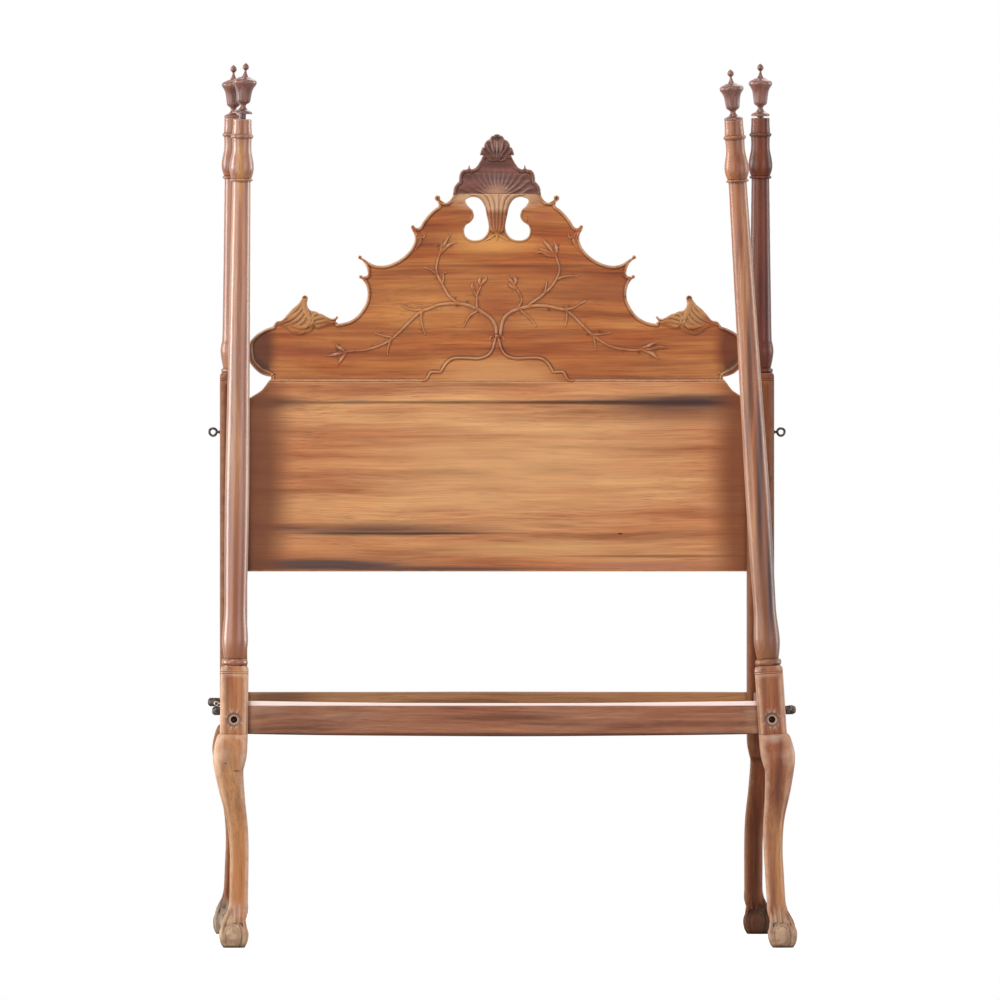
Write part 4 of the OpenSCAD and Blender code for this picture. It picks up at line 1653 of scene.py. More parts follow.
# The right half of each outline, [distance from the centre line, height over the seam between the boards]
LOWER_SHOULDER = smooth([(598, -41), (577, -28), (566, -20), (556, -7), (551, 0)])
LOBE = smooth([(545, 11), (556, 13), (571, 19), (586, 32), (597, 48), (600, 69), (597, 92), (586, 107),
    (573, 118), (556, 127), (541, 132)])
LEAF = (smooth([(536, 139), (531, 145), (522, 146)])
    + smooth([(516, 149), (505, 162), (492, 176), (480, 186), (471, 198)]) + curl(463, 200, 7.5, 5, 215)
    + smooth([(458, 188), (456, 179), (449, 171), (438, 169), (428, 164)])
    + smooth([(420, 162), (408, 155), (398, 151), (390, 153)]) + curl(386, 154, 3.2, 60, 250)
    + [(389, 145), (384, 141)])
HOLLOW_LOW = smooth([(384, 139), (371, 141), (353, 147), (334, 161), (317, 187), (312, 211), (316, 232),
    (325, 246)])
SPIKE = curl(328.5, 252, 4.4, -60, 170) + smooth([(319, 253), (312, 257), (313, 270), (319, 284), (326, 292)])
HOLLOW_MID = curl(330.5, 299, 4.8, -50,
    190) + smooth([(320, 295), (296, 281), (267, 280), (234, 294), (210, 316), (200, 335), (199, 352),
    (205, 365)])
SHOULDER = curl(203, 372, 4.6, -40, 190) + smooth(
    [(194, 370), (186, 372), (177, 387), (163, 404), (150, 416), (141, 423), (143, 433)])
HOOK = curl(143.5, 441.5, 7.0, -55, 205) + smooth(
    [(134, 436), (128, 432), (122, 431), (115, 435), (108, 444), (106, 452)])
UPPER_RIGHT = [(551, 0), (545, 6)] + LOBE + LEAF + HOLLOW_LOW + SPIKE + HOLLOW_MID + SHOULDER + HOOK
OPENING_RIGHT = smooth([(76, 437), (62, 444), (48, 443), (37, 435), (29, 420), (25, 401), (20, 368),
    (33, 346), (55, 340), (72, 346), (79, 359), (76, 375), (64, 384), (56, 396), (59, 412), (71, 424)],
    closed=True)
CREST_RIGHT = [(x, z + 452) for x, z in (smooth([(106, 0), (104, 14), (98, 24), (92, 30)])
    + smooth([(92, 38), (89, 50), (82, 58), (74, 59)]) + [(70, 61), (67.5, 69), (66, 69), (65, 62)]
    + smooth([(61, 59), (51, 64), (43, 75), (36, 88), (34, 93)]) + [(40, 93), (41.5, 95)]
    + smooth([(39, 104), (35.5, 112)]) + [(32, 112)] + smooth([(30.5, 120), (26, 127), (20.5, 131)])
    + [(18, 130.5)] + smooth([(17, 135), (13, 139), (10, 141)]) + [(8.2, 139.5)]
    + smooth([(6, 143), (0, 144.5)]))]
CREST = both_halves(CREST_RIGHT)
OPENINGS = [OPENING_RIGHT, mirrored(OPENING_RIGHT)]
# The rim runs on under the leaf
UNDER_LEAF = smooth([(522, 139), (505, 133), (492, 122), (478, 117), (466, 120), (458, 130), (444, 136),
    (430, 131), (412, 138), (396, 141)])
# The applied moulding's double curve, from the seam up to its tip in the middle
OGEE_RIGHT = smooth([(182, 0), (170, 6), (161, 21), (150, 23), (137, 23), (133, 28), (122, 45), (104, 56),
    (75, 57), (45, 56), (23, 63), (12, 76), (6, 95), (2, 110)], 5)
OGEE = both_halves(OGEE_RIGHT)


@dataclass(frozen=True)
class Stroke:
    """One raised line of carving: a stem, a leaf or a rib.

    Args:
        path: Its points, from root to tip.
        radii: Half width at the root, in the middle and at the tip.
        height: How high it stands at its fullest.
        step: Distance between its points.
    """

    path: tuple[Point, ...]
    radii: Triple
    height: float = 4.0
    step: float = 3.0

    def points(self) -> list[Triple]:
        """Give x, z and half width along the smooth path.

        Returns:
            One [x, z, half width] for each point.
        """
        line = even_steps(smooth(self.path, 5), self.step)
        count = len(line) - 1
        first, middle, last = self.radii
        out = []
        for i, (x, z) in enumerate(line):
            t = i / count
            r = (first + (middle - first) * t * 2) if t < 0.5 else (middle + (last - middle) * (t * 2 - 1))
            out.append((x, z, r))
        return out

    def seeds(self) -> Line:
        """Give points across the line, so that the mesh has an edge along each of its curves.

        Returns:
            The points.
        """
        line = self.points()
        out: Line = []
        for i, (x, z, r) in enumerate(line):
            nx, nz = left_of(line[max(i - 1, 0)], line[min(i + 1, len(line) - 1)])
            out += [(x + nx * r * u, z + nz * r * u) for u in (-1.25, -1, -.8, -.45, 0, .45, .8, 1, 1.25)]
        # rings round the tip, so that the ground beside it is even
        x, z, r = line[-1]
        out += [(x + (r + d) * cos(a), z + (r + d) * sin(a)) for d in (0.6, 2.4, 5.0, 8.5)
            for a in (radians(30 * k + 15) for k in range(12))]
        return out

    def raise_over(self, points: np.ndarray, heights: np.ndarray) -> None:
        """Raise the heights of the points under the stroke.

        Args:
            points: The x and z of each point.
            heights: Height of the carving at each point, changed in place.
        """
        line = self.points()
        full = max(self.radii)
        low = np.min([(x - r, z - r) for x, z, r in line], axis=0)
        high = np.max([(x + r, z + r) for x, z, r in line], axis=0)
        near = np.nonzero(((points >= low) & (points <= high)).all(axis=1))[0]
        some = points[near]
        best = np.zeros(len(near))
        for (x0, z0, r0), (x1, z1, r1) in zip(line, line[1:]):
            run = np.array((x1 - x0, z1 - z0))
            t = np.clip((some - (x0, z0)) @ run / max(run @ run, 1e-9), 0, 1)
            gap = np.hypot(some[:, 0] - x0 - t * run[0], some[:, 1] - z0 - t * run[1])
            r = r0 + (r1 - r0) * t
            best = np.maximum(best, self.height * (r / full) ** 0.8
                * np.sqrt(np.clip(1 - (gap / r) ** 2, 0, 1)))
        heights[near] = np.maximum(heights[near], best)


def flipped(strokes: Iterable[Stroke]) -> list[Stroke]:
    """Give strokes and their mirror images."""
    return [one for stroke in strokes
            for one in (stroke, replace(stroke, path=tuple((-x, z) for x, z in stroke.path)))]


def drawn(step: float, *rows: tuple) -> list[Stroke]:
    """Give the strokes of a drawing.

    Args:
        step: Distance between their points.
        *rows: The path, radii and height of each stroke.

    Returns:
        The strokes.
    """
    return [Stroke(path, radii, height, step) for path, radii, height in rows]


# The vine: its two stems from the moulding's tip, a branch of each, twigs and leaves
MAIN_LEFT = ((-1, 110), (-4, 134), (-16, 153), (-37, 168), (-62, 181), (-87, 187), (-112, 188), (-141, 184),
    (-165, 175), (-183, 168), (-206, 148), (-230, 124), (-254, 102), (-278, 88), (-316, 76), (-353, 73),
    (-372, 67))
MAIN_RIGHT = ((8, 110), (11, 134), (18, 153), (35, 168), (57, 176), (87, 182), (119, 182), (146, 176),
    (165, 171), (186, 156), (205, 136), (230, 112), (254, 95), (278, 83), (316, 76), (353, 76), (394, 81))
BRANCH_LEFT = ((-92, 189), (-98, 191), (-117, 208), (-131, 233), (-142, 254), (-146, 271), (-143, 291),
    (-137, 308))
BRANCH_RIGHT = ((78, 183), (82, 188), (107, 206), (131, 228), (146, 252), (151, 271), (147, 286), (141, 304))
TWIGS = [((-131, 237), (-129, 250), (-129, 259), (-122, 263)), ((-146, 259), (-158, 268), (-173, 274)),
    ((-48, 176), (-49, 190), (-49, 206), (-60, 224)), ((-49, 206), (-46, 214), (-40, 226), (-38, 232)),
    ((-45, 172), (-52, 167), (-67, 156), (-80, 131)), ((-176, 171), (-190, 172), (-206, 173), (-230, 184)),
    ((-181, 168), (-183, 155), (-180, 135), (-173, 114)),
    ((-254, 104), (-259, 107), (-275, 110), (-295, 117)), ((-256, 100), (-257, 98), (-262, 82), (-264, 65)),
    ((148, 248), (160, 252), (175, 254), (194, 254)), ((114, 214), (117, 221), (119, 232), (119, 242)),
    ((50, 176), (58, 190), (59, 200), (54, 216)), ((57, 206), (52, 216), (44, 228), (40, 234)),
    ((55, 174), (61, 168), (78, 153), (94, 134)), ((160, 173), (175, 175), (186, 178), (213, 194)),
    ((168, 170), (168, 151), (167, 142), (165, 134)), ((230, 113), (245, 113), (258, 114), (274, 118)),
    ((232, 110), (233, 107), (236, 92), (237, 76))]
VINE_LEAVES = [
    ((-368, 68), (-386, 66), (-400, 63), (-414, 61)), ((-366, 70), (-374, 78), (-384, 84), (-390, 94)),
    ((-362, 69), (-372, 58), (-380, 46), (-384, 36)), ((-138, 304), (-135, 318), (-133, 328), (-134, 340)),
    ((-140, 304), (-128, 328), (-118, 346), (-109, 360)), ((-138, 306), (-122, 324), (-110, 332), (-96, 335)),
    ((141, 300), (126, 324), (114, 338), (106, 351)), ((142, 300), (124, 304), (106, 312), (90, 306)),
    ((142, 302), (144, 316), (142, 328), (138, 342)), ((140, 302), (122, 312), (104, 320), (96, 328)),
    ((340, 76), (362, 84), (378, 92), (392, 92)), ((348, 75), (372, 68), (384, 58), (394, 54)),
    ((372, 78), (388, 82), (402, 82), (416, 79)), ((-39, 230), (-34, 238), (-28, 245), (-24, 254)),
    ((-39, 229), (-42, 238), (-42, 246), (-38, 254)), ((-52, 210), (-57, 222), (-60, 232), (-56, 240)),
    ((41, 232), (36, 240), (31, 246), (27, 255)), ((41, 231), (45, 240), (44, 248), (40, 256)),
    ((48, 222), (40, 226), (33, 232), (27, 240))]
VINE = ([Stroke(path, (4.6, 3.8, 3.0), 3.4) for path in (MAIN_LEFT, MAIN_RIGHT)]
        + [Stroke(path, (3.8, 3.5, 2.8), 3.2) for path in (BRANCH_LEFT, BRANCH_RIGHT)]
        + [Stroke(path, (3.2, 2.6, 1.9), 2.9) for path in TWIGS]
        + [Stroke(path, (2.4, 4.6, 1.0), 3.4, 2.0) for path in VINE_LEAVES])
# The right half of everything else that is carved in relief
LEAF_FLUTES = drawn(2.0,
    (((449, 138), (452, 152), (460, 170), (465, 184), (464, 196)), (5, 7.5, 5.0), 4.0),
    (((533, 141), (516, 148), (500, 161), (486, 174), (474, 186), (466, 198)), (2.4, 5.6, 4.0), 3.0),
    (((524, 139), (506, 146), (490, 157), (477, 169), (467, 184)), (2.4, 5.4, 3.4), 3.0),
    (((508, 137), (492, 143), (478, 153), (468, 165), (463, 176)), (2.4, 5.2, 3.0), 3.0),
    (((492, 132), (480, 137), (468, 146), (461, 158)), (2.2, 5.0, 3.0), 2.8),
    (((498, 137), (484, 132), (470, 130), (459, 134), (453, 142)), (2.2, 5.6, 5.0), 3.0),
    (((446, 152), (442, 160), (434, 164), (426, 160)), (4.0, 4.6, 2.6), 2.8),
    (((445, 148), (434, 153), (418, 156), (404, 151), (392, 150), (386, 154)), (4.4, 5.0, 2.6), 3.2),
    (((442, 140), (428, 144), (412, 146), (398, 143), (389, 143)), (3.6, 4.6, 2.2), 2.8),
    (((450, 142), (447, 133), (451, 125), (460, 120), (470, 116), (478, 113), (484, 116)),
     (6.0, 5.0, 1.6), 3.0),
    (((452, 150), (446, 150), (443, 145), (446, 140), (452, 141), (453, 146)), (2.6, 3.0, 2.6), 4.6),
    (((469, 204), (464, 207), (458, 205), (457, 199), (462, 197)), (2.4, 2.8, 2.6), 4.4))
STEM_HEIGHTS = (361, 368, 378, 392, 406, 418, 428, 436, 443, 449, 452)
STEM_HALVES = (11, 17, 20, 22, 23.5, 25.5, 29, 34, 41, 52, 62)
STEM_FLUTES = drawn(2.0, *[
    (tuple((half * share, z) for z, half in zip(STEM_HEIGHTS, STEM_HALVES)), (2.4, 4.0, 6.0), 3.4)
    for share in (0.4, 0.8)], (tuple((0.01, z) for z in STEM_HEIGHTS), (2.0, 3.6, 5.0), 2.6)) + drawn(
    1.6, (((22, 397), (26, 396), (29, 400)), (2.8, 2.4, 1.4), 3.6)) + drawn(
    2.0, (((2, 356), (10, 351), (20, 344), (30, 339)), (3.4, 3.4, 1.6), 3.0),
    (((0.01, 356), (0.01, 349), (0.01, 342)), (3.0, 3.4, 1.6), 3.4))
CURLS = drawn(1.8,
    (((75, 434), (66, 427), (60, 416), (58, 403), (61, 392), (68, 386)), (2.4, 4.2, 2.4), 2.2),
    (((68, 386), (72, 390), (73, 396)), (2.6, 2.4, 1.4), 2.4),
    # leaves behind the tips, along the rim
    (((201, 369), (193, 359), (187, 345), (190, 329), (200, 313)), (3.0, 6.5, 1.5), 3.4),
    (((187, 353), (180, 347), (174, 350), (172, 359)), (2.6, 3.0, 1.4), 2.8),
    (((323, 250), (315, 240), (310, 222), (308, 202)), (2.6, 4.6, 1.4), 2.8),
    (((327, 298), (318, 285), (311, 270), (309, 256)), (2.6, 4.2, 1.4), 2.6),
    (((139, 440), (130, 436), (118, 437), (108, 443), (98, 447)), (3.4, 4.4, 1.8), 2.8),
    # the curled tips themselves
    (((17, 102), (14, 108), (8, 108)), (2.6, 2.6, 1.8), 2.8),
    (((546, 10), (542, 17), (536, 20), (531, 17)), (2.6, 2.6, 1.6), 2.0),
    (((193, 364), (200, 365), (206, 369), (207, 375), (202, 376), (200, 372)), (2.4, 2.6, 2.2), 2.2),
    (((320, 286), (327, 292), (334, 297), (333, 302), (328, 301)), (2.4, 2.6, 2.4), 2.2),
    (((318, 244), (326, 247), (331, 252), (328, 255), (325, 252)), (2.2, 2.4, 2.2), 2.2),
    (((118, 430), (130, 428), (139, 432), (147, 438), (147, 445), (142, 446), (140, 441)),
    (3.0, 3.2, 2.6), 3.0))
PALMETTE = drawn(1.6,
    (((0.01, 534), (0.01, 548), (0.01, 562), (0.01, 578)), (3.0, 3.6, 2.6), 4.0),
    (((0.01, 586), (0.01, 590), (0.01, 594)), (4.6, 6.0, 3.6), 4.6),
    (((3, 535), (7, 550), (12, 566), (14, 586)), (2.4, 4.6, 3.0), 4.0),
    (((5, 534), (13, 548), (21, 560), (26, 575)), (2.2, 4.4, 2.8), 3.6),
    (((24, 547), (31, 553), (34, 562)), (2.8, 4.0, 2.6), 3.2),
    (((4, 532), (12, 532), (20, 535), (24, 542)), (2.6, 3.6, 2.0), 2.6),
    (((28, 538), (34, 541), (40, 546)), (2.4, 2.8, 1.4), 3.0),
    (((60, 511), (65, 513), (67, 519)), (2.4, 2.4, 1.2), 2.6))


def distance_to(points: np.ndarray, line: Sequence[Point], closed: bool = False) -> np.ndarray:
    """Measure how far each point is from a line.

    Args:
        points: The x and z of each point.
        line: The line's points.
        closed: Whether the line returns to its first point.

    Returns:
        The distances.
    """
    best = np.full(len(points), 1e9)
    ends = list(line) + ([line[0]] if closed else [])
    for (x0, z0), (x1, z1) in zip(ends, ends[1:]):
        run = np.array((x1 - x0, z1 - z0))
        size = run @ run
        if size < 1e-9:
            continue
        t = np.clip((points - (x0, z0)) @ run / size, 0, 1)
        np.minimum(best, np.hypot(points[:, 0] - x0 - t * run[0], points[:, 1] - z0 - t * run[1]), out=best)
    return best


def nearest(points: np.ndarray, lines: Iterable[Sequence[Point]], closed: bool = False) -> np.ndarray:
    """Measure how far each point is from the nearest of some lines."""
    return np.min([distance_to(points, line, closed) for line in lines], axis=0)


def within(points: np.ndarray, loop: Sequence[Point]) -> np.ndarray:
    """Tell which points lie inside a closed line.

    Args:
        points: The x and z of each point.
        loop: The line's points.

    Returns:
        True for each point inside.
    """
    inside = np.zeros(len(points), dtype=bool)
    x, z = points[:, 0], points[:, 1]
    for (x0, z0), (x1, z1) in zip(loop, list(loop[1:]) + [loop[0]]):
        if z0 == z1:
            continue
        crosses = (z0 > z) != (z1 > z)
        inside ^= crosses & (x < (x1 - x0) * (z - z0) / (z1 - z0) + x0)
    return inside


def ramp(value: np.ndarray, low: float, high: float) -> np.ndarray:
    """Rise smoothly from 0 at low to 1 at high."""
    t = np.clip((value - low) / (high - low), 0, 1)
    return t * t * (3 - 2 * t)


def hump(value: np.ndarray, middle: float, half: float) -> np.ndarray:
    """Give a round hump, 1 high at its middle."""
    return np.sqrt(np.clip(1 - ((value - middle) / half) ** 2, 0, 1))


@dataclass
class CarvedBoard:
    """A board cut to an outline, with a carved face.

    The face is a height over its plane at each point, and its mesh has rows of points along the outline,
    the rim and each carved line. Operators can't cut such a face, so the mesh is made from its points.

    Args:
        name: The piece's name.
        outer: Its outline in millimetres, x and height over the seam.
        holes: The openings.
        strokes: The raised lines.
        lines: Further lines that the mesh has rows of points along.
        step: Distance between the points of the outline.
        rows: Distances from the outline at which there is a row of points.
        patches: x0, z0, x1, z1 and spacing of finer grids.
        grid: Spacing of the plain grid.
        face: Gives the height over the plane at each point, in millimetres.
    """

    name: str
    outer: Line
    holes: list[Line]
    face: Callable[[np.ndarray], np.ndarray]
    strokes: list[Stroke] = field(default_factory=list)
    lines: list[Line] = field(default_factory=list)
    step: float = 3.0
    rows: tuple[float, ...] = (1.2, 2.5, 5.0)
    patches: tuple[tuple[float, float, float, float, float], ...] = ()
    grid: float = 12.0

    def build(self) -> Piece:
        """Build the carved face, the flat back and the sawn edge.

        Returns:
            The board, at its place.
        """
        loops = [even_steps(loop, self.step, closed=True) for loop in [self.outer] + self.holes]
        face_points, triangles, rims = self._triangulate(loops, self._seeds(loops))
        back_points, back_triangles, back_rims = self._triangulate(loops, self._rows(loops, (5.0,)))
        carving = np.zeros(len(face_points))
        for stroke in self.strokes:
            stroke.raise_over(face_points, carving)
        eased = -1.6 * np.clip(1 - nearest(face_points, loops, True) / 2.4, 0, 1) ** 2
        heights = self.face(face_points) + carving + eased
        shape = bmesh.new()
        front = [shape.verts.new((x * MM, (BOARD_FRONT - h) * MM, (z + SEAM_Z) * MM))
                 for (x, z), h in zip(face_points, heights)]
        back = [shape.verts.new((x * MM, BOARD_BACK * MM, (z + SEAM_Z) * MM)) for x, z in back_points]
        for a, b, c in triangles:
            shape.faces.new((front[a], front[b], front[c]))
        for a, b, c in back_triangles:
            shape.faces.new((back[c], back[b], back[a]))
        for front_rim, back_rim in zip(rims, back_rims):
            count = len(front_rim)
            for i in range(count):
                j = (i + 1) % count
                corners = (front[front_rim[i]], back[back_rim[i]], back[back_rim[j]], front[front_rim[j]])
                if len(set(corners)) == 4:
                    shape.faces.new(corners)
        bmesh.ops.recalc_face_normals(shape, faces=shape.faces)
        mesh = bpy.data.meshes.new(self.name)
        shape.to_mesh(mesh)
        shape.free()
        obj = new_object(self.name, mesh)
        smooth_shading(obj, 48)
        return obj

    @staticmethod
    def _inside(points: np.ndarray, loops: Sequence[Line]) -> np.ndarray:
        """Tell which points lie inside the outline and outside the openings."""
        return within(points, loops[0]) & ~np.any([within(points, loop) for loop in loops[1:]], axis=0)

    def _rows(self, loops: Sequence[Line], distances: Sequence[float]) -> np.ndarray:
        """Give rows of points that follow the outline and the openings.

        Args:
            loops: The outline and the openings.
            distances: The distance of each row.

        Returns:
            The points of the rows that lie in the wood.
        """
        points: Line = []
        for loop in loops:
            for i, (x, z) in enumerate(loop):
                nx, nz = left_of(loop[i - 1], loop[(i + 1) % len(loop)])
                points += [(x + nx * d * s, z + nz * d * s) for d in distances for s in (1, -1)]
        kept = np.array(points)
        wanted = np.tile(np.repeat(distances, 2), len(points) // (2 * len(distances)))
        kept = kept[nearest(kept, loops, True) > wanted * 0.93]
        return kept[self._inside(kept, loops)]

    def _seeds(self, loops: Sequence[Line]) -> np.ndarray:
        """Collect the points that the face's mesh passes through.

        Args:
            loops: The outline and the openings.

        Returns:
            The points inside the outline.
        """
        extra: Line = [p for stroke in self.strokes for p in stroke.seeds()]
        for line in self.lines:
            steps = even_steps(line, 2.4)
            for (x, z), following in zip(steps, steps[1:]):
                nx, nz = left_of((x, z), following)
                extra += [(x + nx * d, z + nz * d)
                    for d in (-11.5, -9.0, -6.8, -4.6, -3.2, -2.2, -1.1, 0, 1.1, 2.2, 3.2, 4.6, 6.8, 9.0,
                    11.5)]
        low, high = np.min(self.outer, axis=0), np.max(self.outer, axis=0)
        for x0, z0, x1, z1, step in self.patches + ((*low, *high, self.grid),):
            shift = 0.0
            z = z0
            while z <= z1:
                extra += [(x0 + shift + step * i, z) for i in range(int((x1 - x0) / step) + 1)]
                z += step * 0.87
                shift = step / 2 - shift
        more = np.array(extra)
        more = more[nearest(more, loops, True) > 0.8]
        return np.concatenate([self._rows(loops, self.rows), more[self._inside(more, loops)]])

    @staticmethod
    def _triangulate(loops: Sequence[Line], seeds: np.ndarray) -> tuple[np.ndarray, list, list[list[int]]]:
        """Fill the outline with triangles that keep to it and to the seeds.

        Args:
            loops: The outline and the openings.
            seeds: Points inside.

        Returns:
            The points, the triangles, and the points of each loop in order.
        """
        points = [p for loop in loops for p in loop] + [tuple(p) for p in seeds]
        starts = np.cumsum([0] + [len(loop) for loop in loops])
        faces = [list(range(start, end)) for start, end in zip(starts, starts[1:])]
        found, _, triangles, origins, _, face_origins = geometry.delaunay_2d_cdt([Vector(p) for p in points],
            [], faces, 0, 1e-5, True)
        # a triangle is wood where it lies in the outline, which is loop 0, and in no opening
        kept = [tuple(triangle) for triangle, loops_in in zip(triangles, face_origins)
                if set(loops_in) == {0}]
        where = {}
        for index, sources in enumerate(origins):
            for source in sources:
                where.setdefault(source, index)
        rims = [[where[i] for i in face] for face in faces]
        return np.array([tuple(p) for p in found]), kept, rims


@dataclass
class Headboard:
    """The plain lower board, the carved and pierced upper board, and the shell crest on top of it.

    Args:
        ground: How far the upper board's ground is cut back behind its rim.
        rim: Width of the rim.
    """

    ground: float = 2.8
    rim: float = 6.0

    def build(self, finishes: Finishes) -> None:
        """Build the three boards.

        Args:
            finishes: The bed's finishes.
        """
        lower = CarvedBoard("planed_board_lower", self._lower_outline(), [], self._lower_face,
            grid=25.0).build()
        hand_over(lower, finishes["board_lower"], "board_wood", "headboard_lower")
        carving = VINE + flipped(LEAF_FLUTES + STEM_FLUTES + CURLS)
        board = CarvedBoard(
            "carved_board_upper", both_halves(UPPER_RIGHT), OPENINGS, self._upper_face, carving,
            [OGEE, [(-540.0, 3.4), (540.0, 3.4)]], 2.6,
            (1.2, 2.5, 4.0, 5.4, 6.8, 8.0, 9.6, 11.2, 12.6, 14.4, 17.0),
            ((378, 104, 548, 210, 2.0), (-548, 104, -378, 210, 2.0), (-66, 352, 66, 452, 2.0)), 12.0)
        upper = hand_over(board.build(), finishes["board_upper"], "board_wood", "headboard_upper",
            relief_full_mm=0.7)
        crest = CarvedBoard("carved_crest_shell", CREST, [], self._crest_face, flipped(PALMETTE), [], 1.6,
            (1.2, 2.5, 5.0), ((-110, 453, 110, 598, 1.6),), 6.0)
        shell = hand_over(crest.build(), finishes["crest"], "crest_wood", "headboard_crest")
        # nothing rubs the backs, and their relief gives them no painted highlight and no dirt or painted
        # shade
        for piece in (lower, upper, shell):
            wear = piece.data.attributes["wear"].data
            for v in piece.data.vertices:
                if v.co.y > (BOARD_BACK - 1.0) * MM:
                    wear[v.index].value = 0.0

    @staticmethod
    def _lower_outline() -> Line:
        """Give the lower board's outline, out to its tongues in the posts' grooves."""
        return both_halves([(614.0, 874.0 - SEAM_Z), (614.0, -43.0), (601.0, -43.0)] + LOWER_SHOULDER)

    @staticmethod
    def _lower_face(points: np.ndarray) -> np.ndarray:
        """Give the planed face's faint waves."""
        x, z = points[:, 0], points[:, 1]
        return 0.25 * np.sin(x * 0.011 + z * 0.03) + 0.15 * np.sin(z * 0.09 + x * 0.004)

    def _upper_face(self, points: np.ndarray) -> np.ndarray:
        """Give the upper board's face: rim, sunk ground, moulding, and the swell of the leaves and the stem.

        Args:
            points: The x and z of each point.

        Returns:
            The height of each point over the board's plane.
        """
        x, z = points[:, 0], points[:, 1]
        rims = ([(551, 0), (545, 6)] + LOBE, HOLLOW_LOW + SPIKE + HOLLOW_MID + SHOULDER + HOOK)
        gap = nearest(points, [line for rim in rims for line in (rim, mirrored(rim))])
        leaf_foot = nearest(points, (UNDER_LEAF, mirrored(UNDER_LEAF)))
        hole = nearest(points, OPENINGS, True)
        moulding = distance_to(points, OGEE)
        under = within(points, OGEE)
        folded = np.stack([np.abs(x), z], axis=1)
        on_leaf = (folded[:, 0] > 384) & (z > 112) & within(folded,
            LEAF + [(384, 139)] + UNDER_LEAF[::-1] + [(541, 132)])
        # the rim is a rolled bead under the lobes and thins out above them
        rim = self.rim + 7.5 * ramp(np.abs(x), 530, 556) * (1 - ramp(z, 50, 120))
        crest_arms = np.clip((z - 430) / 8, 0, 1) * (np.abs(x) < 112)
        sunk = ramp(gap, rim, rim + 1.8) * ramp(z, 4.4, 6.4) * (1 - crest_arms)
        sunk = sunk * np.where(z < 372, ramp(hole, 2.6, 4.6), 1.0) * ramp(leaf_foot, 0.5, 7.0)
        sunk = sunk * ramp(moulding, 0.6, 3.4)
        sunk[under | on_leaf] = 0
        height = -self.ground * sunk
        height += 0.9 * hump(gap, rim - 2.6, 2.2) * (~on_leaf) * (z > 9) * (1 - crest_arms)
        height += 3.0 * hump(moulding, 0.0, 3.4) * (z > 0.5)
        height += 0.8 * hump(z, 2.2, 2.2) * (~under)
        # leaves swell towards their knots
        knot = np.hypot((np.abs(x) - 452) / 60, (z - 150) / 34)
        height += on_leaf * (1.0 + 3.4 * np.clip(1 - knot, 0, 1))
        # the stem swells towards the eye and ends round below
        half = np.interp(z, (358, 361, 366, 375, 400, 416, 428, 438, 446, 452),
            (9, 15, 18.5, 20.5, 23, 25, 29, 36, 50, 76))
        body = np.sqrt(np.clip(1 - (x / half) ** 2, 0, 1)) * ramp(z, 356, 366)
        height = np.where((np.abs(x) < half) & (z > 356), np.maximum(height, 7.0 * body), height)
        return height + 0.2 * np.sin(x * 0.013 + z * 0.02) + 0.12 * np.sin(z * 0.11 + x * 0.01)

    def _crest_face(self, points: np.ndarray) -> np.ndarray:
        """Give the crest's face: a fan of soft ribs, a rolled rim, a hollow neck and the palmette's ground.

        Args:
            points: The x and z of each point.

        Returns:
            The height of each point over the board's plane.
        """
        x, z = points[:, 0], points[:, 1]
        gap = distance_to(points, CREST[1:-1])
        reach = np.hypot(x, z - 440)
        bend = 0.1 * np.sin(np.clip(reach / 80, 0, 1) * pi) * np.sign(x)
        along = (np.arctan2(z - 440, x) + bend - pi / 2) / radians(12.2)
        rib = 1 - np.abs(along - np.round(along)) * 2
        shell = ramp(reach, 16, 46) * (1 - ramp(z, 480, 528)) * ramp(gap, 5, 13)
        height = 3.0 + 2.6 * np.clip(1 - reach / 70, 0, 1) + shell * (2.6 * rib ** 1.6 - 1.4)
        # the rim rolls forwards round the shell, with a groove inside it
        low = 1 - ramp(z, 508, 522)
        height += 3.2 * hump(gap, 4.2, 4.2) * (0.35 + 0.65 * low) - 0.7 * hump(gap, 10.2, 3.0) * low
        # the neck falls back, and the palmette stands out from it
        height -= 2.0 * ramp(z, 500, 516) * (1 - ramp(z, 528, 542)) * (1 - np.clip(np.abs(x) / 52, 0, 1) ** 2)
        height += 1.6 * ramp(z, 534, 542)
        height += np.sqrt(np.clip(1 - (x / 50) ** 2, 0, 1)) * (1 - ramp(z, 452, 474)) * 2.4
        return height



# ---- The finishes of this bed ----


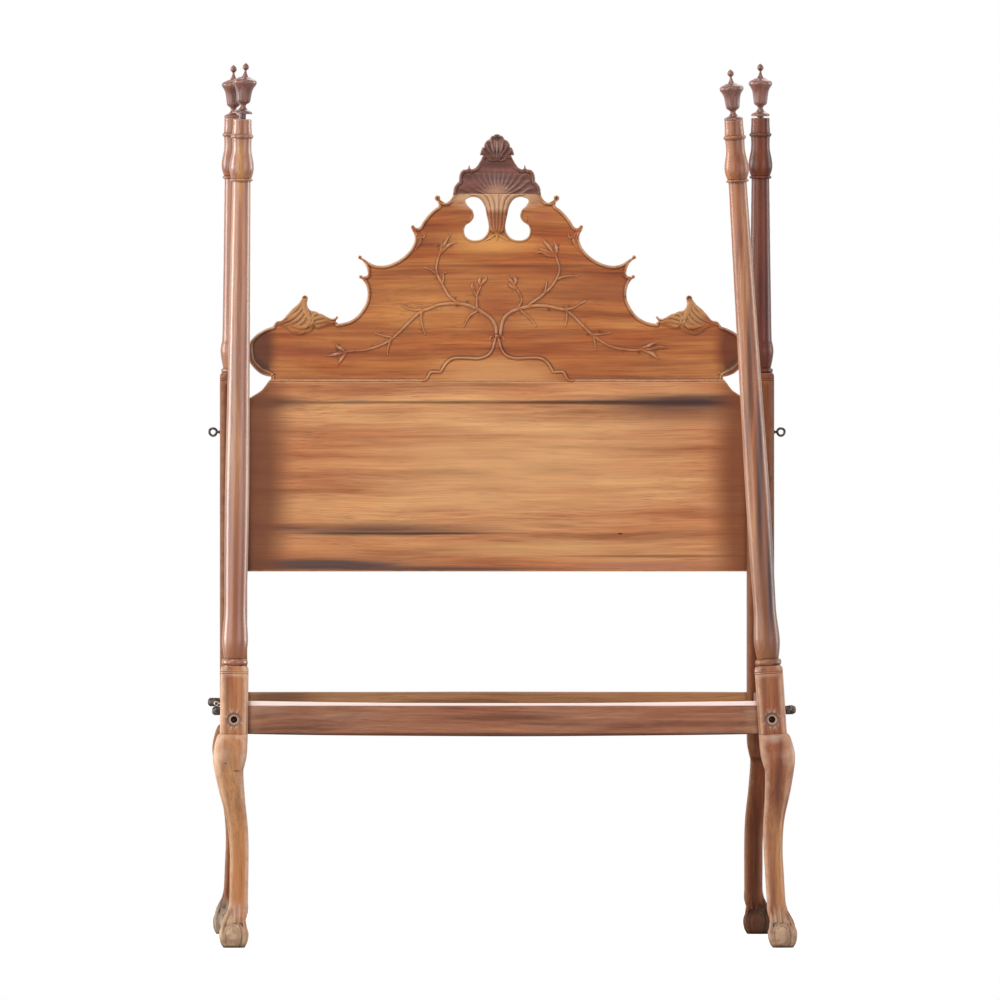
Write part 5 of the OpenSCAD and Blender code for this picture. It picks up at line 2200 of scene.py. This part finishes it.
def bed_finishes() -> Finishes:
    """Build every finish of the bed, each named for the wood or iron and how it was worked.

    Returns:
        The finishes, by the piece that each is for.
    """
    up, across, back = Grain.ALONG_Z, Grain.ALONG_X, Grain.ALONG_Y
    woods = {
        "leg_foot_left": WaxedHardwood(
            "waxed_jacaranda_sawn_leg_left", "#CE9A66", "#B07A50", "#83543A", "#3A241A",
            up, 30, 0.74, 0.44, 0.25, worn="#E8C6A8", marks=(
                Mark((-0.645, -0.95, 0.085), (0.05, 0.06, 0.03), "#C09A84", 0.6, 0.3, 0.3),
                Mark((-0.645, -0.95, 0.02), (0.07, 0.07, 0.068), "#C2A684", 0.85, 0.4, 0.5),
                Mark((-0.645, -0.95, 0.02), (0.07, 0.07, 0.06), "#83604A", 0.65, 0.4, 0.3, Broken.PATCHES),
                # painted highlight on the front of the ankle
                Mark((-0.629, -0.985, 0.078), (0.005, 0.02, 0.01), "#EAD6C4", 0.8, 0.2, 0.3),
                Mark((-0.645, -0.985, 0.0), (0.06, 0.05, 0.009), "#4A382C", 0.7, 0.2, 0.3),
                Mark((-0.622, -0.985, 0.2), (0.04, 0.04, 0.15), "#AC6024", 0.9, 0.4, 0.2),
                Mark((-0.636, -0.983, 0.539), (0.026, 0.02, 0.03), "#7A655A", 0.6, 0.4, 0.5),
                Mark((-0.65, -0.99, 0.455), (0.022, 0.03, 0.05), "#8A6450", 0.55, 0.4, 0.1),
                Mark((-0.628, -0.985, 0.262), (0.022, 0.03, 0.0018), "#4A3228", 0.7, 0.2),
                Mark((-0.655, -0.99, 0.436), (0.003, 0.03, 0.003), "#2E1C16", 0.9, 0.1),
                Mark((-0.627, -0.99, 0.418), (0.014, 0.03, 0.0022), "#3A241A", 0.8, 0.2)), shift=0.3),
        "leg_foot_right": WaxedHardwood(
            "waxed_jacaranda_sawn_leg_right", "#B58152", "#976040", "#6C412C", "#33201A",
            up, 30, 0.72, 0.44, 0.25, worn="#D9B292", marks=(
                Mark((0.655, -0.95, 0.02), (0.07, 0.07, 0.075), "#B89A7E", 0.8, 0.4, 0.5),
                Mark((0.655, -0.95, 0.02), (0.07, 0.07, 0.07), "#7A5844", 0.6, 0.4, 0.3, Broken.PATCHES),
                Mark((0.655, -0.985, 0.0), (0.06, 0.05, 0.009), "#4A382C", 0.7, 0.2, 0.3),
                Mark((0.648, -0.985, 0.36), (0.012, 0.03, 0.16), "#4A2A20", 0.6, 0.5, 0.1),
                Mark((0.622, -0.985, 0.462), (0.018, 0.03, 0.022), "#4A2A20", 0.6, 0.5, 0.1),
                Mark((0.64, -0.985, 0.493), (0.03, 0.03, 0.016), "#B09684", 0.6, 0.3, 0.2),
                Mark((0.634, -0.983, 0.539), (0.026, 0.02, 0.03), "#7A655A", 0.6, 0.4, 0.5)), shift=1.9),
        "leg_head_left": WaxedHardwood(
            "stained_jacaranda_sawn_leg_left", "#8A5230", "#6B3B24", "#4C2A1C", "#2C1B14",
            up, 26, 0.72, 0.46, 0.1, worn="#B07C58", marks=(
                Mark((-0.665, 0.95, 0.03), (0.09, 0.08, 0.07), "#BCA890", 0.9, 0.2, 0.6),
                Mark((-0.665, 0.95, 0.03), (0.08, 0.07, 0.07), "#6A5444", 0.4, 0.3, 0.5, Broken.PATCHES)),
            shift=3.1, sheen=0.15),
        "leg_head_right": WaxedHardwood(
            "stained_jacaranda_sawn_leg_right", "#905A36", "#74462C", "#50301E", "#24150F",
            up, 26, 0.7, 0.46, 0.1, worn="#9C6C4A", marks=(
                Mark((0.64, 0.95, 0.03), (0.07, 0.06, 0.08), "#39332E", 0.85, 0.3),), shift=4.3,
            sheen=0.15),
        "column_foot_left": WaxedHardwood(
            "waxed_jacaranda_turned_left", "#C4905C", "#A4714A", "#80523A", "#3A241A",
            up, 20, 0.76, 0.38, 0.72, film=1.65, worn="#E2BFA2", marks=(
                Mark((-0.62, -0.95, 1.85), (0.016, 0.05, 0.12), "#CC9142", 0.55, 0.3),
                Mark((-0.63, -0.95, 0.84), (0.06, 0.06, 0.42), "#82400E", 0.95, 0.4, 0.3),
                Mark((-0.645, -0.975, 1.05), (0.01, 0.03, 0.25), "#5A3424", 0.5, 0.5, 0.1)), shift=0.9),
        "column_foot_right": WaxedHardwood(
            "waxed_jacaranda_turned_right", "#B88456", "#98623E", "#6C402A", "#2C1912",
            up, 20, 0.72, 0.38, 0.36, film=1.6, worn="#D9B292", marks=(
                Mark((0.635, -0.95, 0.84), (0.06, 0.06, 0.36), "#603010", 0.9, 0.4, 0.3),
                Mark((0.606, -0.975, 1.1), (0.012, 0.03, 0.34), "#2A1712", 0.8, 0.5, 0.2),
                Mark((0.632, -0.975, 0.9), (0.01, 0.03, 0.24), "#2A1712", 0.75, 0.5, 0.2),
                Mark((0.582, -0.975, 1.36), (0.009, 0.03, 0.24), "#3A2018", 0.6, 0.5, 0.2)), shift=2.2),
        "column_head_left": WaxedHardwood(
            "stained_jacaranda_turned_left", "#B47848", "#925C36", "#6A3E26", "#2A1814",
            up, 20, 0.74, 0.38, 0.6, film=1.6, worn="#C4936E", shift=5.5),
        "column_head_right": WaxedHardwood(
            "stained_jacaranda_turned_right", "#783F26", "#5C2E1C", "#3F2016", "#20120D",
            up, 20, 0.74, 0.36, 0.24, film=1.6, worn="#9C6C4A", shift=6.1, sheen=0.1),
        "finial": WaxedHardwood(
            "polished_jacaranda_turned_finial", "#9C6A56", "#784E42", "#52332C", "#241512",
            up, 16, 0.8, 0.34, 0.7, film=1.6, worn="#B48468", wear=0.4, shift=7.3, sheen=0.2),
        "foot_rail": WaxedHardwood(
            "waxed_jacaranda_planed_foot_rail", "#B07E5E", "#926148", "#684230", "#33201A",
            across, 22, 0.7, 0.5, 0.05, worn="#D0A484", wear=0.75, flush="#F8EAE2", marks=marks_on(
                -0.967, 0.03,
                (-0.55, 0.56, 0.07, 0.024, "#8A7A6C", 0.6, 0.6, 0.1, Broken.GRAIN),
                (-0.4, 0.55, 0.16, 0.016, "#7A685A", 0.55, 0.6, 0.1, Broken.GRAIN),
                (0.57, 0.558, 0.07, 0.024, "#8A7A6C", 0.55, 0.6, 0.1, Broken.GRAIN),
                (0.05, 0.545, 0.16, 0.012, "#4E2C20", 0.6, 0.6, 0.1),
                # painted shadow along the rail's lower edge
                (0.0, 0.503, 3.0, 0.006, "#34201A", 0.7, 0.2, 0.4),
                # painted highlight along the rail's rounded top edge
                (0.0, 0.58, 3.0, 0.0098, "#F6E2D8", 0.95, 0.12, 0.7)), shift=8.2, sheen=0.2),
        "head_rail": WaxedHardwood(
            "waxed_jacaranda_planed_head_rail", "#B4865C", "#946A48", "#644632", "#33201A",
            across, 22, 0.7, 0.5, 0.05, worn="#C89A7C", wear=0.75, flush="#FFF4E8", marks=(
                # painted highlight along the rail's rounded top edge
                Mark((0.0, 0.93, 0.584), (3.0, 0.03, 0.004), "#A88878", 0.6, 0.1, 0.4),
                Mark((-0.52, 0.93, 0.57), (0.12, 0.03, 0.03), "#5A4032", 0.6, 0.4, 0.1)), shift=9.6,
            sheen=0.2),
        "side_rail": WaxedHardwood(
            "waxed_jacaranda_planed_side_rail", "#B07C5A", "#925F44", "#68402E", "#33201A",
            back, 22, 0.7, 0.5, 0.05, worn="#D0A484", shift=10.4, sheen=0.2),
        "slat": WaxedHardwood(
            "limed_pine_sawn_slat", "#CDAE82", "#B8935F", "#94713F", "#6E5230", across, 18, 0.82, 0.62, 0.0,
            worn="#D8BE96", grime_and_shade=0.4, shift=11.8, flush="#FFF4E8"),
        "board_lower": WaxedHardwood(
            "waxed_jacaranda_planed_board_lower", "#DCA26A", "#C2875A", "#95603A", "#3A2218",
            across, 30, 0.74, 0.42, 0.12, marks=marks_on(
                0.936, 0.03,
                # paler golden middle: partly the wood's own tone, partly a painted pool of light
                (0.05, 1.13, 0.6, 0.17, "#DFB078", 0.6, 0.5, 0.0),
                (0.1, 0.925, 0.5, 0.036, "#D8AC72", 0.6, 0.6, 0.0),
                (0.44, 1.262, 0.32, 0.042, "#6A4230", 0.75, 0.7, 0.0),
                (0.45, 1.283, 0.34, 0.026, "#33262A", 0.9, 0.7, 0.0),
                (0.25, 1.281, 0.56, 0.007, "#3A2018", 0.85, 0.5, 0.2),
                (-0.56, 1.283, 0.16, 0.02, "#4E3024", 0.85, 0.7, 0.0),
                (-0.38, 1.2815, 0.3, 0.0045, "#4A2A20", 0.65, 0.9, 0.0),
                (-0.34, 1.283, 0.05, 0.006, "#75665E", 0.45, 0.9, 0.0),
                (-0.52, 0.98, 0.16, 0.014, "#4A3634", 0.8, 0.6, 0.0),
                (-0.3, 0.975, 0.4, 0.021, "#4A3836", 0.85, 0.9, 0.0),
                (-0.22, 0.9655, 0.4, 0.005, "#33241F", 0.85, 0.4, 0.2),
                (-0.44, 0.891, 0.4, 0.024, "#43373A", 0.9, 0.9, 0.0),
                (-0.14, 0.88, 0.46, 0.011, "#43373A", 0.85, 0.6, 0.1),
                (0.38, 0.888, 0.32, 0.016, "#A8765C", 0.6, 0.5, 0.2),
                (0.38, 0.911, 0.34, 0.005, "#6A4438", 0.65, 0.6, 0.2),
                (0.297, 0.965, 0.008, 0.003, "#1E1410", 0.9, 0.1, 0.4),
                # painted shadows over both ends of the board
                (-0.6, 1.1, 0.125, 0.6, "#6E3F28", 0.9, 0.12, 0.35),
                (0.61, 1.1, 0.115, 0.6, "#6E381C", 0.85, 0.12, 0.35)), shift=12.4),
        "board_upper": WaxedHardwood(
            "waxed_jacaranda_carved_board", "#CC8A4C", "#AE6C3C", "#84492A", "#3A2218", across, 30, 0.74, 0.4,
            0.15, worn="#CCA684", wear=0.85, grime_and_shade=0.6, flush="#EACEC2", marks=marks_on(
                0.936, 0.03,
                # pale line along the seam's bead: a rubbed edge with painted highlight
                (-0.34, 1.3345, 0.2, 0.0024, "#D8B08A", 0.5, 0.4, 0.2),
                (0.35, 1.3345, 0.19, 0.0024, "#D8B08A", 0.45, 0.4, 0.2),
                (-0.02, 1.668, 0.17, 0.05, "#E0A25A", 0.75, 0.4, 0.0),
                (0.05, 1.61, 0.4, 0.007, "#5A3222", 0.6, 0.5, 0.1),
                (0.32, 1.555, 0.34, 0.05, "#84482E", 0.6, 0.5, 0.0),
                (0.00, 1.5, 0.09, 0.07, "#8E4428", 0.55, 0.5, 0.0),
                (-0.45, 1.4, 0.2, 0.03, "#9A583A", 0.5, 0.5, 0.0),
                (0.0, 1.345, 0.19, 0.06, "#CE9660", 0.6, 0.3, 0.3),
                # painted shadows of the foot posts over both lobes
                (-0.59, 1.41, 0.07, 0.12, "#4F2C20", 0.85, 0.12, 0.5),
                (0.59, 1.41, 0.08, 0.12, "#5A2412", 0.85, 0.12, 0.5)) + marks_on(
                0.93, 0.04,
                (0.0, 1.72, 0.035, 0.035, "#8A5236", 0.6, 0.3, 0.2),
                (0.0, 1.77, 0.145, 0.036, "#CDA580", 0.75, 0.2, 0.5)) + (
                Mark((0.108, 0.936, 1.73), (0.05, 0.03, 0.02), "#A65A3E", 0.6, 0.3, 0.1),
                Mark((-0.455, 0.93, 1.5), (0.085, 0.03, 0.045), "#BC8C5A", 0.7, 0.3, 0.5),
                Mark((0.455, 0.93, 1.5), (0.085, 0.03, 0.045), "#BC8C5A", 0.7, 0.3, 0.5)), shift=13.7),
        "crest": WaxedHardwood(
            "dark_jacaranda_carved_crest", "#86584A", "#684034", "#462B24", "#2B1914",
            across, 24, 0.8, 0.38, 0.35, worn="#B48C78", wear=0.7, grime_and_shade=0.6, marks=marks_on(
                0.93, 0.04,
                # painted highlight at the bottom of the shell's fan
                (0.0, 1.787, 0.045, 0.03, "#B98A68", 0.75, 0.4, 0.0),
                (0.0, 1.9, 0.022, 0.02, "#A48474", 0.6, 0.3, 0.1),
                (0.0, 1.855, 0.05, 0.014, "#4A2E28", 0.55, 0.3, 0.2),
                (0.0, 1.925, 0.02, 0.012, "#2E1C18", 0.7, 0.2, 0.2)), shift=14.9),
        "dowel": WaxedHardwood(
            "turned_beech_dowel", "#D8B888", "#C9A36B", "#AC8650", "#7E5E38", up, 8, 0.85, 0.55,
                               0.0, shift=15.2, flush="#FFF4E8"),
    }
    finishes = {key: wood.material() for key, wood in woods.items()}
    finishes["iron"] = ForgedIron("oxidised_iron_forged_bolt", "#3B322C", "#6C6259").material()
    finishes["worn_iron"] = ForgedIron("rubbed_iron_screw_eye", "#8C847B", "#CFC8BE", 0.4, 0.4).material()
    return finishes


# ---- Studio ----


@dataclass(frozen=True)
class Lamp:
    """One soft lamp, far off.

    Args:
        name: Its name.
        azimuth: Its direction from the front, in degrees, to the right.
        elevation: Its height, in degrees.
        strength: Its strength.
        spread: How wide it looks, in degrees.
        colour: Its sRGB hex colour.
    """

    name: str
    azimuth: float
    elevation: float
    strength: float
    spread: float
    colour: str = "#FFFFFF"

    def build(self) -> None:
        """Set up the lamp."""
        data = bpy.data.lights.new(self.name, "SUN")
        data.energy = self.strength
        data.angle = radians(self.spread)
        data.color = to_linear(self.colour)[:3]
        lamp = new_object(self.name, data)
        a, e = radians(self.azimuth), radians(self.elevation)
        source = Vector((sin(a) * cos(e), -cos(a) * cos(e), sin(e)))
        lamp.location = source * 6
        lamp.rotation_euler = (-source).to_track_quat("-Z", "Y").to_euler()


@dataclass
class Studio:
    """A white studio floor and room, soft lamps, and a camera far off in front of the foot end.

    A high lamp models the carving. Two low ones give the turned wood its bright band on the left and its cool
    one on the right, and two from the sides draw the posts' pale edges.

    Args:
        eye: Where the camera stands.
        look: The direction that it looks in.
        lens: Its focal length on a 36 mm frame.
        fill: How bright the room is for the object.
        lamps: The lamps.
    """

    eye: Triple = (-0.677, -90.65, 1.581)
    look: Triple = (0.00747, 1.0, -0.00584)
    lens: float = 1368.0
    fill: float = 0.28
    lamps: tuple[Lamp, ...] = (
        Lamp("lamp_key", -32, 44, 1.0, 14), Lamp("lamp_low_left", -50, 3, 1.5, 46),
        Lamp("lamp_low_right", 38, 4, 0.75, 34, "#E4E2FF"), Lamp("lamp_edge_left", -98, 6, 2.0, 26),
        Lamp("lamp_edge_right", 104, 6, 1.2, 26), Lamp("lamp_top", 5, 70, 0.5, 34),
        Lamp("lamp_back", 165, 40, 0.6, 34))

    def build(self) -> None:
        """Set up the camera, the room, the floor and the lamps."""
        camera = bpy.data.cameras.new("camera")
        camera.lens = self.lens
        camera.sensor_width = 36.0
        camera.clip_start = 1.0
        camera.clip_end = 400.0
        eye = new_object("camera", camera)
        eye.location = self.eye
        eye.rotation_euler = Vector(self.look).to_track_quat("-Z", "Y").to_euler()
        bpy.context.scene.camera = eye
        bpy.context.scene.view_settings.view_transform = "Standard"
        self._room()
        self._floor()
        for lamp in self.lamps:
            lamp.build()

    def _room(self) -> None:
        """Make the room white where it is seen or reflected, and a plain grey fill otherwise."""
        world = bpy.context.scene.world or bpy.data.worlds.new("room")
        bpy.context.scene.world = world
        tree = fresh_tree(world)
        path = add(tree, "LightPath")
        seen = add(tree, "Math", {0: path.outputs["Is Camera Ray"], 1: path.outputs["Is Glossy Ray"]},
            operation="MAXIMUM").outputs[0]
        seen = add(tree, "Math", {0: seen, 1: path.outputs["Is Transmission Ray"]},
            operation="MAXIMUM").outputs[0]
        fill = add(tree, "Background", {"Color": (1, 1, 1, 1), "Strength": self.fill}).outputs[0]
        white = add(tree, "Background", {"Color": (1, 1, 1, 1), "Strength": 1.0}).outputs[0]
        mixed = add(tree, "MixShader", {0: seen, 1: fill, 2: white}).outputs[0]
        add(tree, "OutputWorld", {"Surface": mixed})

    def _floor(self) -> None:
        """Lay a pale painted floor that goes to white and keeps a faint shadow."""
        deselect_all()
        bpy.ops.mesh.primitive_plane_add(size=9.0, location=(0, 0, 0))
        floor = bpy.context.object
        floor.name = "floor"
        bpy.ops.object.transform_apply(location=True, rotation=True, scale=True)
        material = bpy.data.materials.new("painted_studio_floor")
        tree = fresh_tree(material)
        path = add(tree, "LightPath")
        matt = add(tree, "BsdfDiffuse", {"Color": to_linear("#DADADA")}).outputs[0]
        bright = add(tree, "Emission", {"Color": (1, 1, 1, 1), "Strength": 0.62}).outputs[0]
        lit = add(tree, "AddShader", {0: matt, 1: bright}).outputs[0]
        mixed = add(tree, "MixShader", {0: path.outputs["Is Camera Ray"], 1: matt, 2: lit}).outputs[0]
        add(tree, "OutputMaterial", {"Surface": mixed})
        floor.data.materials.append(material)


def main() -> None:
    """Load the frame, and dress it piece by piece."""
    logging.basicConfig(level=logging.INFO, format="%(name)s: %(message)s")
    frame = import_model()
    Studio().build()
    finishes = bed_finishes()
    Legs().build(finishes)
    Columns().build(finishes)
    Finials().build(finishes)
    Frame().build(finishes)
    Ironwork().build(finishes)
    Headboard().build(finishes)
    for slot in frame["nodes"]["headboard_dowels"].material_slots:
        slot.material = finishes["dowel"]


if __name__ == "__main__":
    main()
